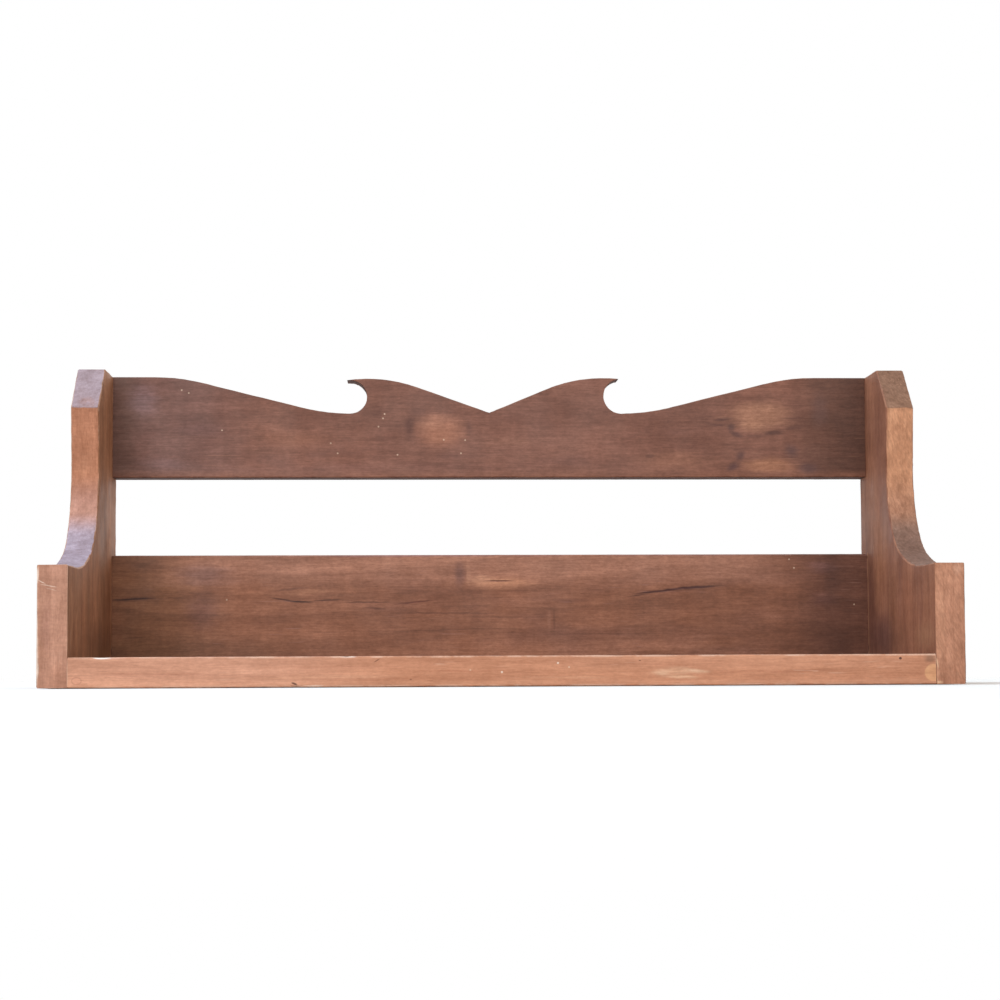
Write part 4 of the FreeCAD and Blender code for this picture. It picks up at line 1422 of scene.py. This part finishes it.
@dataclass
class Sides:
    """The two sawn side brackets."""

    step: float = 6.0

    def finish(self, hand: Hand) -> StainedWood:
        """A side's finish.

        Args:
            hand: Which side.

        Returns:
            The finish, with that side's own marks.
        """
        sign = hand.value
        left = hand is Hand.LEFT
        inner, outer = sign * SIDE_INNER, sign * SIDE_OUTER
        low_x, high_x = min(inner, outer) - 2, max(inner, outer) + 2
        pale_band_low, pale_band_high = sorted((inner - sign * 1.0, inner + sign * 1.0))
        own_zones, own_marks = self._left_side(outer) if left else self._right_side(inner)
        zones = tuple(
            Zone((low_x, front, low), (high_x, back, high), colour, strength, (1, 2, soft), 2.0, True)
            for front, back, low, high, colour, strength, soft in own_zones
        )
        return StainedWood(
            f"{hand.word}_side_stain",
            Grain.SIDE,
            dark=(146, 101, 73) if left else (132, 86, 66),
            light=(180, 126, 93) if left else (160, 108, 82),
            haze=(124, 90, 66) if left else (122, 82, 74),
            worn=(226, 190, 168) if left else (206, 156, 126),
            edge_wear=0.30 if left else 0.16,
            figure=Figure(rings=0.06, bands=0.06, fibres=0.06, hairs=0.04, pores=0.12, fleck=0.06),
            heart=(-60.0 if left else 40.0, sign * 225.0),
            shift=(1.0 * sign, 0.2, 0.0),
            roughness=0.62 if left else 0.56,
            gloss=0.13,
            saw_marks=0.06 if left else 0.13,
            saw_turn=86.0 if left else 20.0,
            zones=zones
            + (
                # a paler band on the inner face, along the rail's face
                Zone((pale_band_low, 89.4, 21), (pale_band_high, 95, 99), (176, 128, 98), 0.7, (1, 1.4, 1.4), 0.6),
                # painted shade: the inner face darkened towards the corner by the rail and shelf
                Zone((low_x, 60, 18), (high_x, 96, 98), (104, 70, 54), 0.3, (1, 16, 16), 3.0),
                Zone((low_x, 112.5, -1), (high_x, 117, 233), (150, 108, 82), 0.5, (1, 1, 1), 0.4),
            ),
            marks=own_marks
            + (
                # painted shade: the inner face darkened along the shelf
                Mark((inner, 30, 30), (4, 90, 22), (92, 62, 48), 0.4, 0.9),
                Mark((inner, 20, 60), (4, 4, 44), (160, 114, 84), 0.35, 0.9),
                Mark((inner, 62, 70), (4, 3, 60), (152, 106, 80), 0.3, 0.9),
                Mark((inner, 93.6, 26), (4, 3, 3.4), SOOT, 0.8, 0.7),
                Mark((inner, 93.6, 95), (4, 2, 2.6), SOOT, 0.7, 0.7),
            ),
        )

    @staticmethod
    def _left_side(outer: float) -> tuple[tuple[SawnZone, ...], tuple[Mark, ...]]:
        """What only the left side has.

        Args:
            outer: X of the side's outer face, in millimetres.

        Returns:
            Colours of its sawn edges, some with a painted reflection, and its scratches and rubbed
            places.
        """
        pale = (236, 212, 196)
        zones = (
            (-117, -112, -2, 82, (184, 136, 115), 0.95, 1.0),
            (-60, 80, 122, 216, (186, 128, 100), 0.95, 14.0),
            (-60, 80, 96, 154, (194, 146, 130), 0.85, 22.0),
            # cove and chamfer: their own grey end-grain tone plus a painted mauve-white reflection of
            # the light from above left
            (-112.5, 80, 56, 126, (173, 159, 173), 0.92, 20.0),
            (18, 56, 199.6, 234, (170, 152, 160), 0.9, 1.0),
        )
        marks = (
            Mark((outer + 8.0, FRONT, 66.5), (7.0, 4, 0.35), pale, 0.65, 0.6, -10.0, 0.4),
            Mark((outer + 9.5, FRONT, 64.2), (5.0, 4, 0.3), pale, 0.4, 0.6, -14.0, 0.4),
            Mark((outer + 3.4, FRONT, 69.0), (3.4, 4, 0.4), pale, 0.7, 0.6, -28.0, 0.4),
            Mark((outer + 0.4, FRONT, 40.0), (1.1, 4, 46.0), pale, 0.8, 0.9),
            Mark((outer + 0.6, FRONT, 12.0), (1.4, 4, 6.0), pale, 0.9, 0.7),
            Mark((outer + 0.6, FRONT, 74.0), (1.3, 4, 7.0), pale, 0.9, 0.7),
            Mark((outer + 13.0, FRONT, 76.0), (8.0, 4, 7.0), (208, 156, 134), 0.6, 0.9),
            Mark((outer + 6.0, FRONT, 38.0), (5.5, 4, 24.0), (170, 124, 108), 0.5, 0.9),
            Mark((outer + 14.0, FRONT, 12.0), (6.0, 4, 12.0), (202, 148, 124), 0.6, 0.9),
            Mark((outer + 10.5, 22.0, 160.0), (9.0, 9, 16.0), (190, 136, 108), 0.5, 0.9),
            Mark((outer + 10.5, 27.0, 196.0), (11.0, 9, 18.0), (168, 114, 90), 0.5, 0.9),
        )
        return zones, marks

    @staticmethod
    def _right_side(inner: float) -> tuple[tuple[SawnZone, ...], tuple[Mark, ...]]:
        """What only the right side has.

        Args:
            inner: X of the side's inner face, in millimetres.

        Returns:
            Colours of its sawn edges, and its scratches and rubbed places.
        """
        pale = (222, 178, 148)
        zones = (
            (-117, -112, -2, 82, (188, 135, 109), 0.95, 1.0),
            (-60, 80, 124, 216, (202, 147, 114), 0.95, 14.0),
            (-60, 80, 100, 152, (182, 132, 105), 0.85, 20.0),
            (-112.5, 80, 58, 128, (134, 104, 90), 0.92, 20.0),
            (18, 56, 199.6, 234, (142, 108, 88), 0.9, 1.0),
        )
        marks = (
            Mark((inner + 0.4, FRONT, 7.6), (2.2, 4, 4.6), (220, 170, 140), 0.3, 0.5, 0.0, 0.0),
            Mark((inner + 0.9, FRONT, 1.6), (0.9, 4, 4.0), pale, 0.6, 0.6),
            Mark((inner + 4.0, FRONT, 40.0), (4.0, 4, 44.0), (196, 144, 116), 0.5, 0.9),
            Mark((inner + 15.0, FRONT, 34.0), (6.0, 4, 26.0), (172, 122, 98), 0.5, 0.9),
            Mark((inner + 16.0, FRONT, 77.0), (6.0, 4, 6.0), (206, 158, 134), 0.6, 0.9),
            Mark((inner + 10.0, -24.0, 88.0), (11.0, 20, 9.0), (122, 92, 80), 0.4, 0.9),
            Mark((inner + 1.0, FRONT, 14.0), (0.9, 4, 5.0), (232, 190, 158), 0.8, 0.7, 12.0),
            Mark((inner + 2.0, FRONT, 1.2), (3.6, 4, 1.4), (236, 196, 160), 0.7, 0.8),
            Mark((inner, 50, 34), (4, 62, 26), (104, 70, 70), 0.6, 0.9, 0.0, 0.6),
            Mark((inner, 78, 62), (4, 22, 60), (120, 78, 66), 0.5, 0.9, 0.0, 0.6),
            Mark((inner, 44, 96), (4, 40, 40), (168, 112, 80), 0.55, 0.9, 0.0, 0.6),
            Mark((inner, -34, 66), (4, 30, 30), (164, 108, 82), 0.5, 0.9, 0.0, 0.6),
            Mark((inner, 8, 50), (4, 12, 40), (112, 70, 46), 0.4, 0.9, 0.0, 0.6),
            Mark((inner, -84, 32), (4, 40, 14), (170, 124, 94), 0.5, 0.9, 0.0, 0.6),
            Mark((inner, 50, 190), (4, 60, 60), (122, 80, 64), 0.45, 0.95, 0.0, 0.6),
        )
        return zones, marks

    def build(self) -> None:
        """Model and dress both sides."""
        for hand in Hand:
            Board(
                f"{hand.word}_side",
                "side_board",
                self.finish(hand),
                ((1, self.step), (2, self.step)),
                seed=10 + hand.value,
                unevenness=0.16,
                thickness_axis=0,
            ).build()


@dataclass
class Plugs:
    """Wooden plugs over the joint screws, in rows on the outer faces of the sides."""

    diameter: float = 10.0
    corners: int = 48
    round_over: float = 0.3
    hollow: float = 0.06
    rows: tuple[str, ...] = ("top_rail", "bottom_rail", "shelf")

    def build(self) -> None:
        """Model and dress every row of plugs."""
        finish = StainedWood(
            "plug_stain",
            Grain.PLUG,
            dark=(104, 66, 48),
            light=(146, 98, 72),
            haze=(96, 64, 52),
            worn=(176, 126, 98),
            figure=Figure(rings=0.3, bands=0.12),
            ring_width=2.4,
            shift=(0.05, 0.02, 0.0),
        ).make()
        for row in self.rows:
            for hand in Hand:
                self._build_row(f"{row}_plugs_{hand.word}", hand, finish)

    def _build_row(self, node: str, hand: Hand, finish: Material) -> None:
        """Model one row.

        Args:
            node: CAD node of the row.
            hand: Side of the rack.
            finish: The plugs' finish.
        """
        low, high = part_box(node)
        depth = high[0] - low[0]
        plugs = []
        for centre in row_centres(node, 0):
            leave_alone()
            bpy.ops.mesh.primitive_cylinder_add(
                vertices=self.corners,
                radius=self.diameter / 2 * MM,
                depth=depth,
                location=centre,
                rotation=(0.0, math.radians(90), 0.0),
            )
            plug = bpy.context.active_object
            settle(plug)
            self._shape(plug, hand)
            plugs.append(plug)
        row = joined(plugs, f"sanded_{node}")
        soften(row)
        fit_out(row, finish, [node])

    def _shape(self, plug: Piece, hand: Hand) -> None:
        """Round a plug's rims and sand its face slightly hollow.

        Args:
            plug: The plug.
            hand: Side of the rack, which is the way its face looks.
        """
        edit(plug, "EDGE", False)
        pick(plug, "EDGE", lambda edge: edge.calc_face_angle(0.0) > 1.0)
        bpy.ops.mesh.bevel(offset=self.round_over * MM, segments=2, affect="EDGES")
        pick(plug, "FACE", lambda face: len(face.verts) > 8 and face.normal.x * hand.value > 0.9)
        bpy.ops.mesh.inset(thickness=self.diameter * 0.2 * MM, depth=0.0)
        bpy.ops.transform.translate(value=(-hand.value * self.hollow * MM, 0.0, 0.0))
        leave_alone()


@dataclass(frozen=True)
class CrossScrew:
    """A countersunk screw with a cross recess and a rolled thread, modelled along +X."""

    head: float
    shank: float
    length: float
    thread_from: float
    pitch: float
    rim: float = 0.2
    tip: float = 2.2
    plain_end: float = 3.0
    point: float = 0.12
    core_share: float = 0.36
    cross_depth: float = 0.55
    cross_reach: float = 0.58
    cross_width: float = 0.13
    corners: int = 32

    def build(self, name: str) -> Piece:
        """Model the screw with its head's face at the origin, pointing along +X.

        Args:
            name: Name of the piece.

        Returns:
            The screw.
        """
        leave_alone()
        bpy.ops.mesh.primitive_cylinder_add(
            vertices=self.corners,
            radius=self.head / 2 * MM,
            depth=self.rim * MM,
            location=(self.rim / 2 * MM, 0.0, 0.0),
            rotation=(0.0, math.radians(90), 0.0),
        )
        screw = bpy.context.active_object
        settle(screw)
        edit(screw, "FACE", False)
        pick(screw, "FACE", lambda face: face.normal.x > 0.9)
        start, reach = self.rim, self.head / 2
        for end, radius in self._profile():
            bpy.ops.mesh.extrude_region_move(
                TRANSFORM_OT_translate={"value": ((end - start) * MM, 0.0, 0.0)}
            )
            share = radius / reach
            bpy.ops.transform.resize(value=(1.0, share, share), center_override=(end * MM, 0.0, 0.0))
            start, reach = end, radius
        leave_alone()
        screw.name = name
        self._cut_cross(screw)
        return screw

    def _profile(self) -> list[tuple[float, float]]:
        """The shape of the screw behind its head's rim.

        Returns:
            Places along the screw, each with its radius there, in millimetres.
        """
        core, crest = self.shank * self.core_share, self.shank / 2
        place = self.thread_from
        profile = [((self.head - self.shank) / 2, crest), (place, crest), (place + 0.2, core)]
        while place + self.pitch < self.length - self.plain_end:
            profile += [
                (place + self.pitch * 0.55, core),
                (place + self.pitch * 0.78, crest * 0.98),
                (place + self.pitch, core),
            ]
            place += self.pitch
        return profile + [(self.length - self.tip, core * 0.8), (self.length - 0.3, self.point)]

    def _cut_cross(self, screw: Piece) -> None:
        """Sink the cross recess into the head.

        Args:
            screw: The screw.
        """
        arms = []
        for turn in (0.0, 90.0):
            leave_alone()
            bpy.ops.mesh.primitive_cube_add(size=1.0, location=(0.0, 0.0, 0.0))
            arm = bpy.context.active_object
            size = (self.cross_depth, self.cross_reach, self.cross_width)
            arm.scale = metres(size) * self.head
            arm.rotation_euler = (math.radians(turn + 45.0), 0.0, 0.0)
            settle(arm)
            edit(arm, "VERT", False)
            pick(arm, "VERT", lambda vertex: vertex.co.x > 0.0)
            bpy.ops.transform.resize(value=(1.0, 0.3, 0.3), center_override=(0.0, 0.0, 0.0))
            leave_alone()
            arms.append(arm)
        for arm in arms:
            cutter = screw.modifiers.new("cross", "BOOLEAN")
            cutter.operation = "DIFFERENCE"
            cutter.solver = "EXACT"
            cutter.object = arm
        apply_modifiers(screw)
        for arm in arms:
            bpy.data.objects.remove(arm, do_unlink=True)

    def copies(self, node: str, name: str, finish: Material) -> None:
        """Put a screw at each place of a CAD row that points away from the wall.

        Args:
            node: CAD node of the row.
            name: Name of the new piece.
            finish: Its finish.
        """
        pattern = self.build(f"{name}_pattern")
        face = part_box(node)[1][1]
        row = []
        for index, centre in enumerate(row_centres(node, 1)):
            screw = bpy.data.objects.new(f"{name}_{index}", pattern.data.copy())
            bpy.context.scene.collection.objects.link(screw)
            to_wall = Matrix.Rotation(math.radians(-90), 4, "Z")
            driven = Matrix.Rotation(0.4 + index * 0.9, 4, "X")
            screw.data.transform(Matrix.Translation((centre.x, face, centre.z)) @ to_wall @ driven)
            row.append(screw)
        bpy.data.objects.remove(pattern, do_unlink=True)
        whole = joined(row, name)
        soften(whole, 35.0)
        fit_out(whole, finish, [node])


@dataclass
class Hangers:
    """Keyhole plates let into the back edges of the sides, and their screws."""

    round_over: float = 0.18
    screw_room: float = 8.5
    outline_within: float = 0.05
    screw: CrossScrew = CrossScrew(head=5.6, shank=2.8, length=12.0, thread_from=3.5, pitch=1.1)

    def build(self) -> None:
        """Model and dress both hangers."""
        plated = PlatedSteel("zinc_plate").make()
        steel = PlatedSteel("small_screw_steel", rust_from=0.62).make()
        for hand in Hand:
            self._build_plate(hand, plated)
            self.screw.copies(f"keyhole_screws_{hand.word}", f"cross_screws_{hand.word}", steel)

    def _build_plate(self, hand: Hand, plated: Material) -> None:
        """Model one plate from its CAD node.

        Args:
            hand: Side of the rack.
            plated: Its finish.
        """
        node = f"keyhole_plate_{hand.word}"
        plate = merged_copy(node, f"stamped_{node}")
        low, high = (Vector(corner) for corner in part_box(node))
        edit(plate, "EDGE", False)
        pick(plate, "EDGE", lambda edge: self._is_rim(edge, low, high))
        bpy.ops.mesh.bevel(offset=self.round_over * MM, segments=2, affect="EDGES", clamp_overlap=True)
        leave_alone()
        soften(plate, 35.0)
        fit_out(plate, plated, [node])

    def _is_rim(self, edge: bmesh.types.BMEdge, low: Vector, high: Vector) -> bool:
        """Say if an edge is on the rim of a plate's outline or keyhole, and not of a screw's hole.

        Args:
            edge: The edge.
            low: Low corner of the plate's box.
            high: High corner of the plate's box.

        Returns:
            True for a rim on the plate's outer face.
        """
        middle = middle_of(edge)
        from_ends = min(middle.z - low.z, high.z - middle.z)
        from_outline = min(from_ends, middle.x - low.x, high.x - middle.x)
        near = self.outline_within * MM
        shows = from_ends > self.screw_room * MM or from_outline < near
        return bends_by(edge, RIM_EDGE) and shows and middle.y > high.y - near


@dataclass
class JointScrews:
    """Screws at the boards' joints: hidden ones as in the CAD, and those that show at the back."""

    rows: tuple[str, ...] = ("top_rail", "bottom_rail", "shelf")
    back_screw: CrossScrew = CrossScrew(head=8.0, shank=4.0, length=50.0, thread_from=22.0, pitch=1.8)

    def build(self) -> None:
        """Dress the hidden screws and model those at the back."""
        steel = PlatedSteel("joint_screw_steel", plate=(168, 150, 110), dull=(128, 108, 74)).make()
        for row in self.rows:
            for hand in Hand:
                dress(f"{row}_screws_{hand.word}", steel)
        self.back_screw.copies("shelf_back_screws", "cross_back_screws", steel)


# ------------------------------------------------------------------ studio


@dataclass(frozen=True)
class Lamp:
    """A soft square lamp: where it hangs, what it looks at, its size, power and colour."""

    name: str
    place: Triple
    target: Triple
    size: float
    power: float
    colour: Triple

    def hang(self) -> None:
        """Put the lamp in the scene."""
        light = bpy.data.lights.new(self.name, "AREA")
        light.shape = "SQUARE"
        light.size = self.size
        light.energy = self.power
        light.color = self.colour
        holder = bpy.data.objects.new(self.name, light)
        holder.location = self.place
        way = Vector(self.target) - Vector(self.place)
        holder.rotation_euler = way.to_track_quat("-Z", "Y").to_euler()
        bpy.context.scene.collection.objects.link(holder)


@dataclass
class Studio:
    """Pale floor, soft lamps, and the camera at the photograph's angle."""

    floor_size: float = 9.0
    floor_below: float = 0.4
    ambient: float = 0.55
    daylight: Colour = (1.0, 0.985, 0.97, 1.0)
    white: Colour = (1.0, 1.0, 1.0, 1.0)
    camera_place: Triple = (-63.8, -1522.7, 9.9)
    yaw: float = -0.0430
    pitch: float = 0.0539
    roll: float = 0.0046
    lens: float = 77.34
    shift_up: float = 0.0551
    lamps: tuple[Lamp, ...] = (
        Lamp("window", (-1.0, 0.25, 2.1), (-0.2, 0.0, 0.1), 1.3, 40.0, (0.66, 0.82, 1.0)),
        Lamp("room", (-0.5, -2.4, 1.3), (0.0, 0.0, 0.1), 2.2, 34.0, (1.0, 0.97, 0.93)),
        Lamp("back_fill", (0.8, 2.4, 1.4), (0.0, 0.0, 0.1), 2.0, 22.0, (1.0, 0.98, 0.95)),
    )

    def build(self) -> None:
        """Make the floor, world, lamps and camera."""
        self._lay_floor()
        self._fill_world()
        for lamp in self.lamps:
            lamp.hang()
        self._place_camera()
        LOG.info("studio: floor, world, %d lamps and camera", len(self.lamps))

    def _lay_floor(self) -> None:
        """Lay the floor just under the rack."""
        leave_alone()
        place = (0.0, 0.0, -self.floor_below * MM)
        bpy.ops.mesh.primitive_plane_add(size=self.floor_size, location=place)
        floor = bpy.context.active_object
        settle(floor)
        floor.name = "floor"
        floor.data.materials.append(PaleFloor().make())

    def _fill_world(self) -> None:
        """Give even light, and a white background to what the camera and gloss see."""
        world = bpy.data.worlds.new("room_light")
        bpy.context.scene.world = world
        world.use_nodes = True
        nodes, links = world.node_tree.nodes, world.node_tree.links
        nodes.clear()
        path = nodes.new("ShaderNodeLightPath")
        seen = path.outputs["Is Camera Ray"]
        for ray in ("Is Glossy Ray", "Is Transmission Ray"):
            either = nodes.new("ShaderNodeMath")
            either.operation = "MAXIMUM"
            links.new(seen, either.inputs[0])
            links.new(path.outputs[ray], either.inputs[1])
            seen = either.outputs[0]
        mix = nodes.new("ShaderNodeMixShader")
        links.new(seen, mix.inputs[0])
        for socket, colour, strength in ((1, self.daylight, self.ambient), (2, self.white, 1.0)):
            background = nodes.new("ShaderNodeBackground")
            background.inputs["Color"].default_value = colour
            background.inputs["Strength"].default_value = strength
            links.new(background.outputs[0], mix.inputs[socket])
        output = nodes.new("ShaderNodeOutputWorld")
        links.new(mix.outputs[0], output.inputs["Surface"])

    def _place_camera(self) -> None:
        """Put the camera where the photograph was taken from."""
        data = bpy.data.cameras.new("camera")
        data.sensor_width = 36.0
        data.lens = self.lens
        data.shift_y = self.shift_up
        camera = bpy.data.objects.new("camera", data)
        turn = (
            Matrix.Rotation(self.yaw, 3, "Z")
            @ Matrix.Rotation(self.pitch, 3, "X")
            @ Matrix.Rotation(self.roll, 3, "Y")
        )
        look = Matrix((turn.col[0], turn.col[2], -turn.col[1])).transposed()
        camera.matrix_world = Matrix.Translation(metres(self.camera_place)) @ look.to_4x4()
        bpy.context.scene.collection.objects.link(camera)
        bpy.context.scene.camera = camera


def main() -> None:
    """Build the rack's looks, piece by piece, and the studio round it."""
    logging.basicConfig(level=logging.INFO, format="%(name)s: %(message)s")
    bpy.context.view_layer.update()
    bpy.context.scene.view_settings.view_transform = "Standard"
    for part in (Sides(), Shelf(), Rails(), Plugs(), JointScrews(), Hangers(), Studio()):
        part.build()
    leave_alone()


if __name__ == "__main__":
    main()
